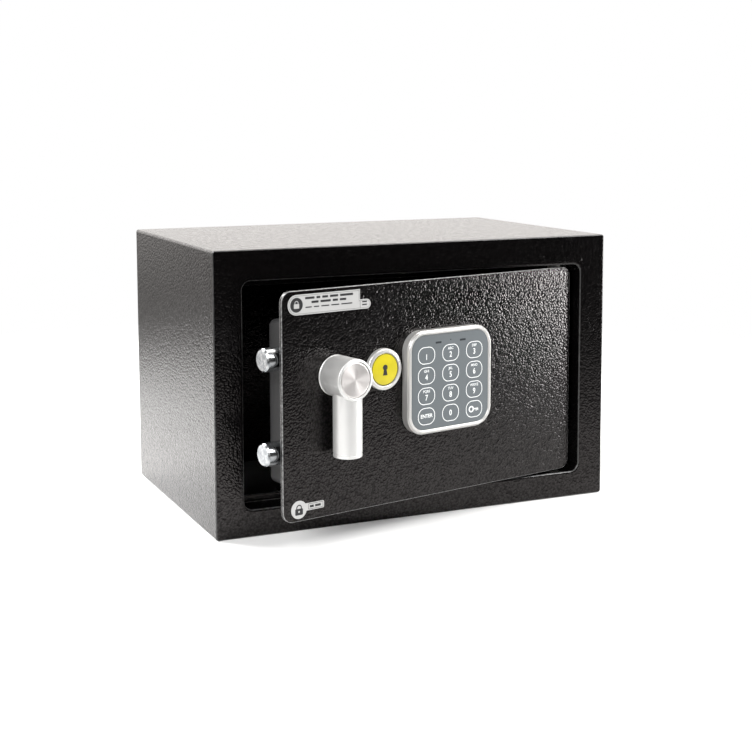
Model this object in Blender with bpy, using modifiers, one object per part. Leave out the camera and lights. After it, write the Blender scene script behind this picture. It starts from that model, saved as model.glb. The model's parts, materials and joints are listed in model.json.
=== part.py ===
"""Electronic in-room safe with its door ajar and its locking bolts thrown.

A folded steel cabinet, a pivot-hung steel door with a lever handle, a keypad and a covered
override lock, and the bolt work, solenoid and batteries behind the door's moulded cover.

Frame: metres, +Z up, the origin at the centre of the cabinet's base, the door facing -Y.
Sizes below are millimetres, and MM turns them into metres. Door pieces are drawn with the door
shut, then hang from the hinge axis, which is turned by AJAR.
"""

import math

import bmesh
import bpy
from mathutils import Matrix, Vector

MM = 0.001
GAP = 0.3  # kept between pieces that touch on the real safe

# Cabinet
BODY_W, BODY_D, BODY_H = 310.0, 200.0, 200.0
SHEET = 1.5
BODY_EDGE_R = 2.0
OPEN_W, OPEN_H, OPEN_Z = 268.0, 158.5, 98.75  # clear opening, and the height of its centre
OPEN_CORNER_R = 6.0
BEND_R = 2.3  # where the face turns into the jamb
JAMB_DEPTH = 19.0
STOP_TALL, STOP_SIDE = 5.0, 2.5  # the flange behind the jamb, top and bottom, and at the sides
FRONT_Y = -BODY_D / 2
ANCHOR_R, BASE_ANCHOR_X, BACK_ANCHOR_X = 5.0, 70.0, 90.0

# Door
AJAR = math.radians(12.2)
DOOR_W, DOOR_H, DOOR_T, DOOR_CORNER_R = 258.6, 155.0, 3.0, 7.5
DOOR_RECESS = 3.5
DOOR_LEFT = -OPEN_W / 2 + 2.2
FACE_Y = FRONT_Y + DOOR_RECESS
HINGE_X = DOOR_LEFT + DOOR_W - 8.0
HINGE_Y = FACE_Y + 9.0
PIN_R = 3.0

# Moulded cover over the bolt work; "deep" is measured back from the door's face
COVER_U0, COVER_U1, COVER_DEEP = 8.0, 232.0, 31.0
COVER_H, COVER_WALL, COVER_R = 112.0, 2.0, 5.0

# Bolt work
BOLT_R, BOLT_DEEP, BOLT_TIP_U, BOLT_END_U = 8.0, 12.0, -8.0, 24.0
BOLT_Z = (OPEN_Z - 31.75, OPEN_Z + 31.75)
BOLT_TRAVEL, STUD_R = 12.0, 3.0  # each bolt's stud is riveted through the carriage
PLATE_DEEP, PLATE_T = 21.0, 2.0  # the carriage's plate
CRANK_R = BOLT_TRAVEL / (2 * math.sin(math.radians(45)))

# Handle, badge and override lock
HANDLE_U, HANDLE_Z = 42.3, 117.0
HUB_R, HUB_H, HUB_RECESS_R, SPUN_DISC_R = 14.0, 24.3, 12.2, 11.9
LEVER_R, LEVER_AXIS_H, LEVER_REACH = 10.0, 14.2, 53.0
LOCK_U, LOCK_Z, BARREL_R = 81.3, 117.0, 9.0
BADGE_R, BADGE_H, BADGE_DISC_R = 14.6, 4.0, 11.3
CAM_LENGTH = 21.8

# Keypad
KEYPAD_U, KEYPAD_Z = 136.3, 104.5
KEYPAD_W, KEYPAD_H, KEYPAD_R, KEYPAD_DEEP = 75.6, 73.2, 14.0, 8.0
RIM, RIM_LIP = 3.2, 0.7
BUTTON_W, BUTTON_H, BUTTON_R, BUTTON_PITCH_X, BUTTON_PITCH_Z = 15.2, 12.2, 5.6, 21.7, 14.35
BUTTON_ROWS_Z = KEYPAD_Z - 2.3
BUTTONS = (("1", "2", "3"), ("4", "5", "6"), ("7", "8", "9"), ("enter", "0", "program"))
INDICATOR_DX, INDICATOR_Z = 11.0, 132.0

# Solenoid: its plunger is stored pulled in. Pushed 5 mm up, it stops the tab on the carriage's arm
SOLENOID_U, SOLENOID_DEEP, SOLENOID_Z0, SOLENOID_Z1 = 93.0, 20.2, 56.0, 82.0
PLUNGER_R, CLIP_R, CLIP_Z0, CLIP_Z1, PLUNGER_TOP = 3.0, 5.5, 89.8, 90.8, 96.3
TAB_U0, TAB_U1, TAB_Z0, ARM_Z0, ARM_Z1 = 85.2, 88.2, 97.0, 102.0, 107.0

# Code-setting button, in the cover
RESET_U, RESET_Z, RESET_R = 116.0, 138.0, 2.9

# Stickers on the door's face: left end, right end and tab's end of the notice, and the round mark
STICKER_T = 0.25
NOTICE_U, NOTICE_TAB_U, NOTICE_Z = (4.8, 62.8), 71.7, (160.0, 173.6)
NOTICE_TAB_R = 3.3
MARK_U, MARK_Z, MARK_R = 12.3, 29.4, 6.15
MARK_TAG_U, MARK_TAG_Z = 32.4, (27.9, 32.9)

# Lead from the keypad's board to the solenoid
LEAD_R = 1.3

# Batteries, four AA cells lying across the door
CELL_R, CELL_LENGTH, CELL_PITCH, CELL_DEEP = 7.0, 49.0, 14.8, 21.0
BAY_U0, BAY_U1, BAY_Z0, BAY_Z1 = 134.0, 192.0, 68.0, 130.0


# ---------------------------------------------------------------- helpers


def clear_scene():
    for obj in list(bpy.data.objects):
        bpy.data.objects.remove(obj, do_unlink=True)


def new_collection(name):
    made = bpy.data.collections.new(name)
    bpy.context.scene.collection.children.link(made)
    return made


def paint(name, colour, roughness, metallic=0.0):
    mat = bpy.data.materials.new(name)
    mat.use_nodes = True
    shader = mat.node_tree.nodes["Principled BSDF"]
    shader.inputs["Base Color"].default_value = (*colour, 1.0)
    shader.inputs["Roughness"].default_value = roughness
    shader.inputs["Metallic"].default_value = metallic
    mat.diffuse_color = (*colour, 1.0)
    return mat


clear_scene()
SAFE = new_collection("in_room_safe")
CUTTERS = new_collection("cutters")

BLACK = paint("textured_black_enamel", (0.012, 0.011, 0.012), 0.38)
COVER_GREY = paint("dark_grey_moulding", (0.07, 0.07, 0.072), 0.5)
SATIN = paint("satin_zinc", (0.62, 0.62, 0.6), 0.35, 1.0)
STEEL = paint("plated_steel", (0.7, 0.7, 0.7), 0.22, 1.0)
SILVER = paint("silver_plastic", (0.66, 0.66, 0.65), 0.32, 0.6)
GREY = paint("keypad_grey", (0.12, 0.135, 0.15), 0.45)
YELLOW = paint("badge_yellow", (0.75, 0.6, 0.02), 0.35)
WHITE = paint("label_white", (0.78, 0.78, 0.76), 0.4)
CARPET = paint("floor_carpet", (0.03, 0.03, 0.032), 0.95)
NYLON = paint("nylon", (0.75, 0.74, 0.7), 0.5)
BLACK_PLASTIC = paint("black_plastic", (0.02, 0.02, 0.02), 0.45)
COPPER = paint("coil_tape", (0.5, 0.32, 0.08), 0.5)
GREEN = paint("circuit_board", (0.03, 0.2, 0.06), 0.5)
RED = paint("red_button", (0.55, 0.02, 0.02), 0.4)
SMOKE = paint("indicator_lens", (0.05, 0.055, 0.06), 0.2)
CELL_JACKET = paint("cell_jacket", (0.05, 0.09, 0.25), 0.35)

PIVOT = bpy.data.objects.new("door_pivot", None)
PIVOT.location = (HINGE_X * MM, HINGE_Y * MM, 0)
PIVOT.rotation_euler = (0, 0, AJAR)
SAFE.objects.link(PIVOT)


def hang_on_door(obj):
    """obj, placed where it is with the door shut, turns with the door."""
    obj.parent = PIVOT
    obj.matrix_parent_inverse = Matrix.Translation(-PIVOT.location)
    return obj


def link(obj, mat=None, on_door=False, cutter=False):
    (CUTTERS if cutter else SAFE).objects.link(obj)
    if mat:
        obj.data.materials.append(mat)
    if cutter:
        obj.hide_render = True
        obj.display_type = "WIRE"
    if on_door:
        hang_on_door(obj)
    return obj


def mesh_object(name, bm):
    mesh = bpy.data.meshes.new(name)
    bm.to_mesh(mesh)
    bm.free()
    return bpy.data.objects.new(name, mesh)


def block(name, low, high):
    """A box between two corners, in world millimetres."""
    bm = bmesh.new()
    bmesh.ops.create_cube(bm, size=1.0)
    size = Vector(high) - Vector(low)
    bmesh.ops.scale(bm, vec=size * MM, verts=bm.verts)
    obj = mesh_object(name, bm)
    obj.location = (Vector(low) + Vector(high)) / 2 * MM
    return obj


def door_block(name, u0, u1, deep0, deep1, z0, z1):
    """A box given from the door's left edge (u) and back from its face (deep)."""
    return block(name, (DOOR_LEFT + u0, FACE_Y + deep0, z0), (DOOR_LEFT + u1, FACE_Y + deep1, z1))


def rod(name, radius, length, centre, axis, sides=32):
    """A cylinder along X, Y or Z, centred on a point in world millimetres."""
    bm = bmesh.new()
    bmesh.ops.create_cone(
        bm, cap_ends=True, segments=sides, radius1=radius * MM, radius2=radius * MM, depth=length * MM
    )
    obj = mesh_object(name, bm)
    quarter = math.radians(90)
    obj.rotation_euler = {"X": (0, quarter, 0), "Y": (quarter, 0, 0), "Z": (0, 0, 0)}[axis]
    obj.location = Vector(centre) * MM
    smooth(obj)
    return obj


def door_point(u, deep, z):
    return (DOOR_LEFT + u, FACE_Y + deep, z)


def smooth(obj, angle=35):
    obj.data.shade_smooth()
    obj.data.set_sharp_from_angle(angle=math.radians(angle))


def turned(name, profile, sides=40):
    """A profile of (radius, height) run from the top down its outer side, turned about local Z."""
    bm = bmesh.new()
    verts = [bm.verts.new((r * MM, 0, h * MM)) for r, h in profile]
    for a, b in zip(verts, verts[1:]):
        bm.edges.new((a, b))
    obj = mesh_object(name, bm)
    screw = obj.modifiers.new("turn", "SCREW")
    screw.steps = screw.render_steps = sides
    screw.use_merge_vertices = True
    screw.merge_threshold = 1e-5
    screw.use_smooth_shade = True
    return obj


def face_forward(obj, u, z, height=0.0):
    """Turns local Z to point out of the door, and places the object at u, z and height off its face."""
    obj.rotation_euler = (math.radians(90), 0, 0)
    obj.location = Vector((DOOR_LEFT + u, FACE_Y - height, z)) * MM
    return obj


def arc(cx, cy, radius, start, stop, steps):
    """Points of an arc, angles in degrees."""
    return [
        (
            cx + radius * math.cos(math.radians(start + (stop - start) * i / steps)),
            cy + radius * math.sin(math.radians(start + (stop - start) * i / steps)),
        )
        for i in range(steps + 1)
    ]


def round_rect(width, height, radius, steps=5, cx=0.0, cy=0.0):
    """A rounded rectangle's points, anticlockwise from its right side."""
    x, y = width / 2 - radius, height / 2 - radius
    points = []
    for sx, sy, start in ((1, 1, 0), (-1, 1, 90), (-1, -1, 180), (1, -1, 270)):
        points += arc(cx + sx * x, cy + sy * y, radius, start, start + 90, steps)
    return points


def circle(radius, cx=0.0, cy=0.0, steps=28):
    return arc(cx, cy, radius, 0, 360 - 360 / steps, steps - 1)


def flat(name, loops, thickness):
    """A flat piece from its outline and its holes, thickness along local Z, middle at 0."""
    curve = bpy.data.curves.new(name, "CURVE")
    curve.dimensions = "2D"
    curve.fill_mode = "BOTH"
    curve.extrude = thickness / 2 * MM
    for loop in loops:
        spline = curve.splines.new("POLY")
        spline.points.add(len(loop) - 1)
        for point, (x, y) in zip(spline.points, loop):
            point.co = (x * MM, y * MM, 0, 1)
        spline.use_cyclic_u = True
    return bpy.data.objects.new(name, curve)


def as_mesh(obj):
    """The curve object as a mesh, with its caps welded, so that it can be cut or joined."""
    bpy.context.scene.collection.objects.link(obj)
    bpy.context.view_layer.update()
    graph = bpy.context.evaluated_depsgraph_get()
    mesh = bpy.data.meshes.new_from_object(obj.evaluated_get(graph))
    bm = bmesh.new()
    bm.from_mesh(mesh)
    bmesh.ops.remove_doubles(bm, verts=bm.verts, dist=1e-6)
    bmesh.ops.recalc_face_normals(bm, faces=bm.faces)
    bm.to_mesh(mesh)
    bm.free()
    name = obj.name
    matrix = obj.matrix_world.copy()
    bpy.data.objects.remove(obj, do_unlink=True)
    made = bpy.data.objects.new(name, mesh)
    made.matrix_world = matrix
    return made


def ring_solid(name, rings, steps=5):
    """A solid swept round a rounded rectangle: a closed loop of (width, height, radius, centre z, y)."""
    bm = bmesh.new()
    loops = []
    for width, height, radius, cz, y in rings:
        points = round_rect(width, height, radius, steps, 0, cz)
        loops.append([bm.verts.new((x * MM, y * MM, z * MM)) for x, z in points])
    count = len(loops[0])
    for a, b in zip(loops, loops[1:] + loops[:1]):
        for i in range(count):
            j = (i + 1) % count
            bm.faces.new((a[i], a[j], b[j], b[i]))
    bmesh.ops.recalc_face_normals(bm, faces=bm.faces)
    return mesh_object(name, bm)


def add_wall(obj, thickness):
    """Gives an open surface its thickness, inwards."""
    wall = obj.modifiers.new("wall", "SOLIDIFY")
    wall.thickness = thickness * MM
    wall.offset = -1
    wall.use_even_offset = True


def boolean(obj, other, operation="DIFFERENCE"):
    mod = obj.modifiers.new(operation.lower(), "BOOLEAN")
    mod.operation = operation
    mod.solver = "EXACT"
    mod.object = other
    return obj


def cut(obj, *cutters, on_door=False):
    for cutter in cutters:
        if cutter.name not in CUTTERS.objects:
            link(cutter, cutter=True, on_door=on_door)
        boolean(obj, cutter)
    return obj


def join(obj, *others, on_door=False):
    for other in others:
        link(other, cutter=True, on_door=on_door)
        boolean(obj, other, "UNION")
    return obj


def tube(name, points, radius, resolution=2):
    """A wire or lead along points in world millimetres."""
    curve = bpy.data.curves.new(name, "CURVE")
    curve.dimensions = "3D"
    curve.bevel_depth = radius * MM
    curve.bevel_resolution = resolution
    curve.use_fill_caps = True
    spline = curve.splines.new("POLY")
    spline.points.add(len(points) - 1)
    for point, co in zip(spline.points, points):
        point.co = (*(c * MM for c in co), 1)
    return bpy.data.objects.new(name, curve)


# ---------------------------------------------------------------- cabinet


def make_body_shell():
    """Top, sides and base in one folded wrap, with two anchor holes in the base."""
    front = FRONT_Y + SHEET + GAP
    shell = block("body_shell", (-BODY_W / 2, front, 0), (BODY_W / 2, BODY_D / 2, BODY_H))
    bm = bmesh.new()
    bm.from_mesh(shell.data)
    bmesh.ops.delete(bm, geom=[f for f in bm.faces if abs(f.normal.y) > 0.9], context="FACES_ONLY")
    folds = [e for e in bm.edges if not e.is_boundary]
    bmesh.ops.bevel(bm, geom=folds, offset=BODY_EDGE_R * MM, segments=4, profile=0.5, affect="EDGES")
    bm.to_mesh(shell.data)
    bm.free()
    add_wall(shell, SHEET)
    link(shell, BLACK)
    holes = [
        rod(f"base_anchor_cutter_{i}", ANCHOR_R, 4 * SHEET, (side * BASE_ANCHOR_X, 0, SHEET / 2), "Z", 24)
        for i, side in enumerate((-1, 1))
    ]
    cut(shell, *holes)


def make_back_panel():
    """Welded into the wrap's rear, with two wall anchor holes."""
    margin = 2 * (SHEET + GAP)
    outline = round_rect(BODY_W - margin, BODY_H - margin, 1.0, 2)
    holes = [circle(ANCHOR_R, side * BACK_ANCHOR_X, 0, 24) for side in (-1, 1)]
    panel = flat("back_panel", [outline, *holes], SHEET)
    panel.rotation_euler = (math.radians(90), 0, 0)
    panel.location = (0, (BODY_D - SHEET) / 2 * MM, BODY_H / 2 * MM)
    link(panel, BLACK)


def make_front_frame():
    """Face, rolled edge, jamb and stop flange from one sheet, with holes for the bolts and pins."""
    edge = 0.8
    jamb_end = FRONT_Y + JAMB_DEPTH
    half_bend = BEND_R * (1 - math.cos(math.radians(45)))

    def outer(inset, y):
        return (BODY_W - 2 * inset, BODY_H - 2 * inset, BODY_EDGE_R, BODY_H / 2, y)

    def opening(out, y):
        return (OPEN_W + 2 * out, OPEN_H + 2 * out, OPEN_CORNER_R + out, OPEN_Z, y)

    def stop(y):
        return (OPEN_W - 2 * STOP_SIDE, OPEN_H - 2 * STOP_TALL, 1.5, OPEN_Z, y)

    rings = [
        outer(0, FRONT_Y + SHEET),
        outer(0, FRONT_Y + edge),
        outer(edge, FRONT_Y),
        opening(BEND_R, FRONT_Y),
        opening(half_bend, FRONT_Y + half_bend),
        opening(0, FRONT_Y + BEND_R),
        opening(0, jamb_end),
        stop(jamb_end),
        stop(jamb_end + SHEET),
        opening(SHEET, jamb_end + SHEET),
        opening(SHEET, FRONT_Y + BEND_R + 0.4),
        opening(BEND_R + 0.4, FRONT_Y + SHEET),
    ]
    frame = link(ring_solid("front_frame", rings), BLACK)
    strike_x = -OPEN_W / 2 - SHEET
    tall = BOLT_Z[1] - BOLT_Z[0] + 44
    low = (strike_x - 1.5, FRONT_Y + 4, OPEN_Z - tall / 2)
    high = (strike_x + 0.4, FRONT_Y + 38, OPEN_Z + tall / 2)
    join(frame, block("bolt_strike", low, high))
    bolt_holes = [
        rod(f"bolt_hole_cutter_{i}", BOLT_R + 0.6, 12, (-OPEN_W / 2, FACE_Y + BOLT_DEEP, z), "X")
        for i, z in enumerate(BOLT_Z)
    ]
    pin_holes = [
        rod(f"pin_hole_cutter_{i}", PIN_R + GAP, 8, (HINGE_X, HINGE_Y, z), "Z", 24)
        for i, z in enumerate((OPEN_Z - (OPEN_H + SHEET) / 2, OPEN_Z + (OPEN_H + SHEET) / 2))
    ]
    cut(frame, *bolt_holes, *pin_holes)
    for label, side in (("bottom", -1), ("top", 1)):
        jamb_z = OPEN_Z + side * OPEN_H / 2
        low_z, high_z = sorted((jamb_z - side * 0.8, jamb_z - side * (STOP_TALL + 2)))
        low = (HINGE_X - 14, jamb_end - 0.3, low_z)
        high = (OPEN_W / 2 - STOP_SIDE - 0.5, jamb_end + SHEET + 1, high_z)
        cut(frame, block(f"hinge_relief_cutter_{label}", low, high))


def make_floor_mat():
    mat_w, mat_d, thick = 300.0, 166.0, 2.0
    holes = [circle(ANCHOR_R + 1.0, side * BASE_ANCHOR_X, -10.0, 24) for side in (-1, 1)]
    mat = flat("floor_mat", [round_rect(mat_w, mat_d, 3.0, 3), *holes], thick)
    mat.location = (0, 10.0 * MM, (SHEET + GAP + thick / 2) * MM)
    link(mat, CARPET)


# ---------------------------------------------------------------- door


def make_door_plate():
    outline = round_rect(DOOR_W, DOOR_H, DOOR_CORNER_R, 6)
    centre_u = DOOR_W / 2
    holes = [
        circle(4.6, HANDLE_U - centre_u, HANDLE_Z - OPEN_Z, 24),
        circle(BARREL_R + GAP, LOCK_U - centre_u, LOCK_Z - OPEN_Z, 28),
        circle(6.0, KEYPAD_U - centre_u, KEYPAD_Z - OPEN_Z, 24),
    ]
    plate = as_mesh(flat("door_plate", [outline, *holes], DOOR_T))
    face_forward(plate, centre_u, OPEN_Z, -DOOR_T / 2)
    bevel = plate.modifiers.new("soft_edge", "BEVEL")
    bevel.width = 0.6 * MM
    bevel.segments = 1
    bevel.limit_method = "ANGLE"
    bevel.angle_limit = math.radians(60)
    link(plate, BLACK, on_door=True)


def make_hinges():
    """Angle brackets on the door's back, headed pins through the jambs, and spacers round the pins."""
    u = HINGE_X - DOOR_LEFT
    foot_deep, foot_t, ear_end = DOOR_T + GAP, 1.5, 15.0
    for label, side in (("bottom", -1), ("top", 1)):
        jamb_z = OPEN_Z + side * OPEN_H / 2
        ear_out, ear_in = jamb_z - side * 5.5, jamb_z - side * 8.5
        low, high = sorted((ear_out, ear_out - side * 17.0))
        foot = door_block(f"hinge_bracket_{label}", u - 22, u + 5, foot_deep, foot_deep + foot_t, low, high)
        low, high = sorted((ear_out, ear_in))
        ear = door_block(f"hinge_ear_{label}", u - 6, u + 5, foot_deep + 1.0, ear_end, low, high)
        bracket = link(foot, STEEL, on_door=True)
        join(bracket, ear, on_door=True)
        middle = (HINGE_X, HINGE_Y, (ear_out + ear_in) / 2)
        hole = rod(f"ear_hole_cutter_{label}", PIN_R + GAP, 12, middle, "Z", 24)
        cut(bracket, hole, on_door=True)
        head, shank = 2.4, 3.0 + 5.5 + 5.0 + GAP
        profile = [
            (0, shank),
            (PIN_R - 0.5, shank),
            (PIN_R, shank - 0.5),
            (PIN_R, 0),
            (PIN_R + 0.9, 0),
            (PIN_R + 0.9, -head),
            (0, -head),
        ]
        pin = turned(f"hinge_pin_{label}", profile, 24)
        pin.rotation_euler = (0, 0, 0) if side > 0 else (math.radians(180), 0, 0)
        pin.location = (HINGE_X * MM, HINGE_Y * MM, (ear_in - side * GAP) * MM)
        link(pin, STEEL, on_door=True)
        tall = 5.5 - 2 * GAP
        bore, rim = PIN_R + GAP, PIN_R + 2.0
        profile = [(bore, tall / 2), (rim, tall / 2), (rim, -tall / 2), (bore, -tall / 2), (bore, tall / 2)]
        bush = turned(f"hinge_bush_{label}", profile, 24)
        bush.location = (HINGE_X * MM, HINGE_Y * MM, (jamb_z - side * 2.75) * MM)
        link(bush, NYLON)


def make_inner_cover():
    """The moulded tray over the mechanism, open to the door plate, and its four screws."""
    low_z, high_z = OPEN_Z - COVER_H / 2, OPEN_Z + COVER_H / 2
    tray = door_block("inner_cover", COVER_U0, COVER_U1, DOOR_T + GAP, COVER_DEEP, low_z, high_z)
    bm = bmesh.new()
    bm.from_mesh(tray.data)
    front = [f for f in bm.faces if f.normal.y < -0.9]
    bmesh.ops.delete(bm, geom=front, context="FACES_ONLY")
    rounded = [e for e in bm.edges if not e.is_boundary]
    bmesh.ops.bevel(bm, geom=rounded, offset=COVER_R * MM, segments=4, profile=0.5, affect="EDGES")
    bm.to_mesh(tray.data)
    bm.free()
    add_wall(tray, COVER_WALL)
    link(tray, COVER_GREY, on_door=True)
    holes = [
        rod(f"cover_bolt_cutter_{i}", BOLT_R + 0.5, 8, door_point(COVER_U0 + 1, BOLT_DEEP, z), "X")
        for i, z in enumerate(BOLT_Z)
    ]
    bay = door_block("bay_cutter", BAY_U0, BAY_U1, COVER_DEEP - 6, COVER_DEEP + 6, BAY_Z0, BAY_Z1)
    reset = rod("reset_cutter", RESET_R + 0.4, 12, door_point(RESET_U, COVER_DEEP, RESET_Z), "Y", 20)
    cut(tray, *holes, bay, reset, on_door=True)
    corners = [(u, z) for z in (low_z + 10, high_z - 10) for u in (COVER_U0 + 12, COVER_U1 - 12)]
    for i, (u, z) in enumerate(corners):
        through = rod(f"cover_screw_cutter_{i}", 1.8, 12, door_point(u, COVER_DEEP, z), "Y", 16)
        cut(tray, through, on_door=True)
        length = COVER_DEEP - DOOR_T - 1.0
        profile = [(0, 1.9), (2.2, 1.9), (3.2, 0.9), (3.2, 0), (1.5, 0), (1.5, -length + 1.5), (0, -length)]
        screw = turned(f"cover_screw_{i + 1}", profile, 16)
        screw.rotation_euler = (math.radians(-90), 0, 0)
        screw.location = Vector(door_point(u, COVER_DEEP + GAP, z)) * MM
        link(screw, STEEL, on_door=True)


def make_bolt_guide():
    """A bracket on the door's back whose upright carries both bolts."""
    mid = (BOLT_Z[0] + BOLT_Z[1]) / 2
    upright = door_block("bolt_guide", 11.0, 13.0, DOOR_T + GAP, 24.0, mid - 46, mid + 46)
    foot = door_block("bolt_guide_foot", 12.0, 24.0, DOOR_T + GAP, DOOR_T + GAP + 2.0, mid - 14, mid + 14)
    link(upright, STEEL, on_door=True)
    join(upright, foot, on_door=True)
    holes = [
        rod(f"guide_cutter_{i}", BOLT_R + GAP, 8, door_point(12, BOLT_DEEP, z), "X")
        for i, z in enumerate(BOLT_Z)
    ]
    cut(upright, *holes, on_door=True)


def make_bolts():
    length = BOLT_END_U - BOLT_TIP_U
    for label, z in zip(("lower", "upper"), BOLT_Z):
        profile = [
            (0, length),
            (BOLT_R - 0.9, length),
            (BOLT_R, length - 0.9),
            (BOLT_R, 0),
            (STUD_R, 0),
            (STUD_R, -4.0),
            (0, -4.0),
        ]
        bolt = turned(f"bolt_{label}", profile, 40)
        bolt.rotation_euler = (0, math.radians(-90), 0)
        bolt.location = Vector(door_point(BOLT_END_U, BOLT_DEEP, z)) * MM
        link(bolt, STEEL, on_door=True)


def make_carriage():
    """The plate that carries both bolts, with the crank's slot and the arm that the plunger blocks."""
    deep0, deep1 = PLATE_DEEP, PLATE_DEEP + PLATE_T
    plate = door_block("bolt_carriage", 26.0, 56.0, deep0, deep1, BOLT_Z[0] - 11, BOLT_Z[1] + 11)
    arm = door_block("carriage_arm", 54.0, TAB_U1, deep0, deep1, ARM_Z0, ARM_Z1)
    tab = door_block("carriage_tab", TAB_U0, TAB_U1, deep0, deep1, TAB_Z0, ARM_Z0 + 1)
    ears = [
        door_block(f"carriage_ear_{i}", BOLT_END_U + GAP, BOLT_END_U + GAP + 2.4, 4.0, deep1, z - 8, z + 8)
        for i, z in enumerate(BOLT_Z)
    ]
    link(plate, STEEL, on_door=True)
    join(plate, arm, tab, *ears, on_door=True)
    studs = [
        rod(f"stud_cutter_{i}", STUD_R + GAP, 8, door_point(BOLT_END_U + 1.5, BOLT_DEEP, z), "X", 24)
        for i, z in enumerate(BOLT_Z)
    ]
    pin_u = HANDLE_U - CRANK_R * math.sin(math.radians(45))
    low = HANDLE_Z + CRANK_R * math.cos(math.radians(45)) - 2.6
    high = HANDLE_Z + CRANK_R + 2.6
    slot = door_block("slot_cutter", pin_u - 2.6, pin_u + 2.6, deep0 - 3, deep1 + 3, low, high)
    cut(plate, *studs, slot, on_door=True)


def make_spindle_crank():
    """The handle's spindle with its crank and drive pin, which pushes the carriage by its slot."""
    back, arm_t = 19.5, 3.0
    inner = HUB_H - 7.0
    middle = door_point(HANDLE_U, (back - inner) / 2, HANDLE_Z)
    spindle = rod("spindle_crank", 4.0, inner + back, middle, "Y", 24)
    link(spindle, STEEL, on_door=True)
    angle = math.radians(135)
    half = CRANK_R / 2
    arm = flat("crank_arm", [round_rect(CRANK_R + 9.6, 7.2, 3.5, 5, half)], arm_t)
    arm = as_mesh(arm)
    arm.rotation_euler = (math.radians(90), 0, 0)
    arm.rotation_euler.rotate(Matrix.Rotation(-angle, 3, "Y"))
    arm.location = Vector(door_point(HANDLE_U, back - arm_t / 2 - 0.4, HANDLE_Z)) * MM
    pin_u = HANDLE_U + CRANK_R * math.cos(angle)
    pin_z = HANDLE_Z + CRANK_R * math.sin(angle)
    pin = rod("crank_pin", 2.0, 6.0, door_point(pin_u, 21.0, pin_z), "Y", 20)
    join(spindle, arm, pin, on_door=True)


def make_handle():
    """Hub, lever and the spun disc let into the hub's front."""
    edge = 0.8
    profile = [
        (0, HUB_H - 1.8),
        (HUB_RECESS_R, HUB_H - 1.8),
        (HUB_RECESS_R, HUB_H),
        (HUB_R - edge, HUB_H),
        (HUB_R, HUB_H - edge),
        (HUB_R, 0.4 + edge),
        (HUB_R - edge, 0.4),
        (4.3, 0.4),
        (4.3, HUB_H - 6.5),
        (0, HUB_H - 6.5),
    ]
    link(face_forward(turned("handle_hub", profile, 48), HANDLE_U, HANDLE_Z), SATIN, on_door=True)
    top = HUB_H - 0.4
    profile = [
        (0, top - 0.3),
        (SPUN_DISC_R - 1.3, top),
        (SPUN_DISC_R, top - 0.3),
        (SPUN_DISC_R, HUB_H - 1.5),
        (0, HUB_H - 1.5),
    ]
    link(face_forward(turned("handle_disc", profile, 48), HANDLE_U, HANDLE_Z), SATIN, on_door=True)
    profile = [
        (0, -2.0),
        (LEVER_R, -2.0),
        (LEVER_R, -LEVER_REACH + 2.6),
        (LEVER_R - 0.4, -LEVER_REACH + 2.3),
        (LEVER_R - 0.4, -LEVER_REACH + 1.9),
        (LEVER_R, -LEVER_REACH + 1.6),
        (LEVER_R - 1.2, -LEVER_REACH),
        (0, -LEVER_REACH),
    ]
    lever = turned("handle_lever", profile, 40)
    lever.location = Vector(door_point(HANDLE_U, -LEVER_AXIS_H, HANDLE_Z)) * MM
    link(lever, SATIN, on_door=True)
    seat = rod("lever_seat_cutter", HUB_R + GAP, 60, door_point(HANDLE_U, -LEVER_AXIS_H, HANDLE_Z), "Y", 64)
    cut(lever, seat, on_door=True)


def make_override_lock():
    """The key barrel through the door, its turning plug and cam, and the badge that covers it."""
    back = 23.6
    bore = 6.3
    profile = [
        (bore, 1.0),
        (BARREL_R - 0.5, 1.0),
        (BARREL_R, 0.5),
        (BARREL_R, -back),
        (bore, -back),
        (bore, 1.0),
    ]
    link(face_forward(turned("lock_barrel", profile, 32), LOCK_U, LOCK_Z), STEEL, on_door=True)
    profile = [(0, 0.7), (bore - GAP, 0.7), (bore - GAP, -back - 0.2), (0, -back - 0.2)]
    plug = link(face_forward(turned("lock_plug", profile, 28), LOCK_U, LOCK_Z), SATIN, on_door=True)
    keyway = door_block("keyway_cutter", LOCK_U - 1.0, LOCK_U + 1.0, -3.0, 16.0, LOCK_Z - 4.2, LOCK_Z + 3.4)
    cut(plug, keyway, on_door=True)
    cam = flat("lock_cam", [round_rect(CAM_LENGTH + 6.5, 6.4, 3.1, 5, (CAM_LENGTH - 6.5) / 2)], 2.0)
    face_forward(cam, LOCK_U, LOCK_Z, -(back + 1.7))
    cam.rotation_euler.rotate(Matrix.Rotation(math.radians(90), 3, "Y"))
    link(cam, STEEL, on_door=True)
    profile = [
        (0, 2.8),
        (BADGE_DISC_R + GAP, 2.8),
        (BADGE_DISC_R + GAP, BADGE_H - 0.3),
        (BADGE_DISC_R + 0.9, BADGE_H),
        (BADGE_R - 1.2, BADGE_H),
        (BADGE_R, BADGE_H - 1.2),
        (BADGE_R, GAP),
        (BARREL_R + 1.2, GAP),
        (BARREL_R + 1.2, 1.5),
        (0, 1.5),
    ]
    link(face_forward(turned("badge_cover", profile, 48), LOCK_U, LOCK_Z), SILVER, on_door=True)
    profile = [
        (0, BADGE_H - 0.1),
        (BADGE_DISC_R - 0.4, BADGE_H - 0.4),
        (BADGE_DISC_R, 3.4),
        (BADGE_DISC_R, 3.1),
        (0, 3.1),
    ]
    link(face_forward(turned("badge_disc", profile, 48), LOCK_U, LOCK_Z), YELLOW, on_door=True)


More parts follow.
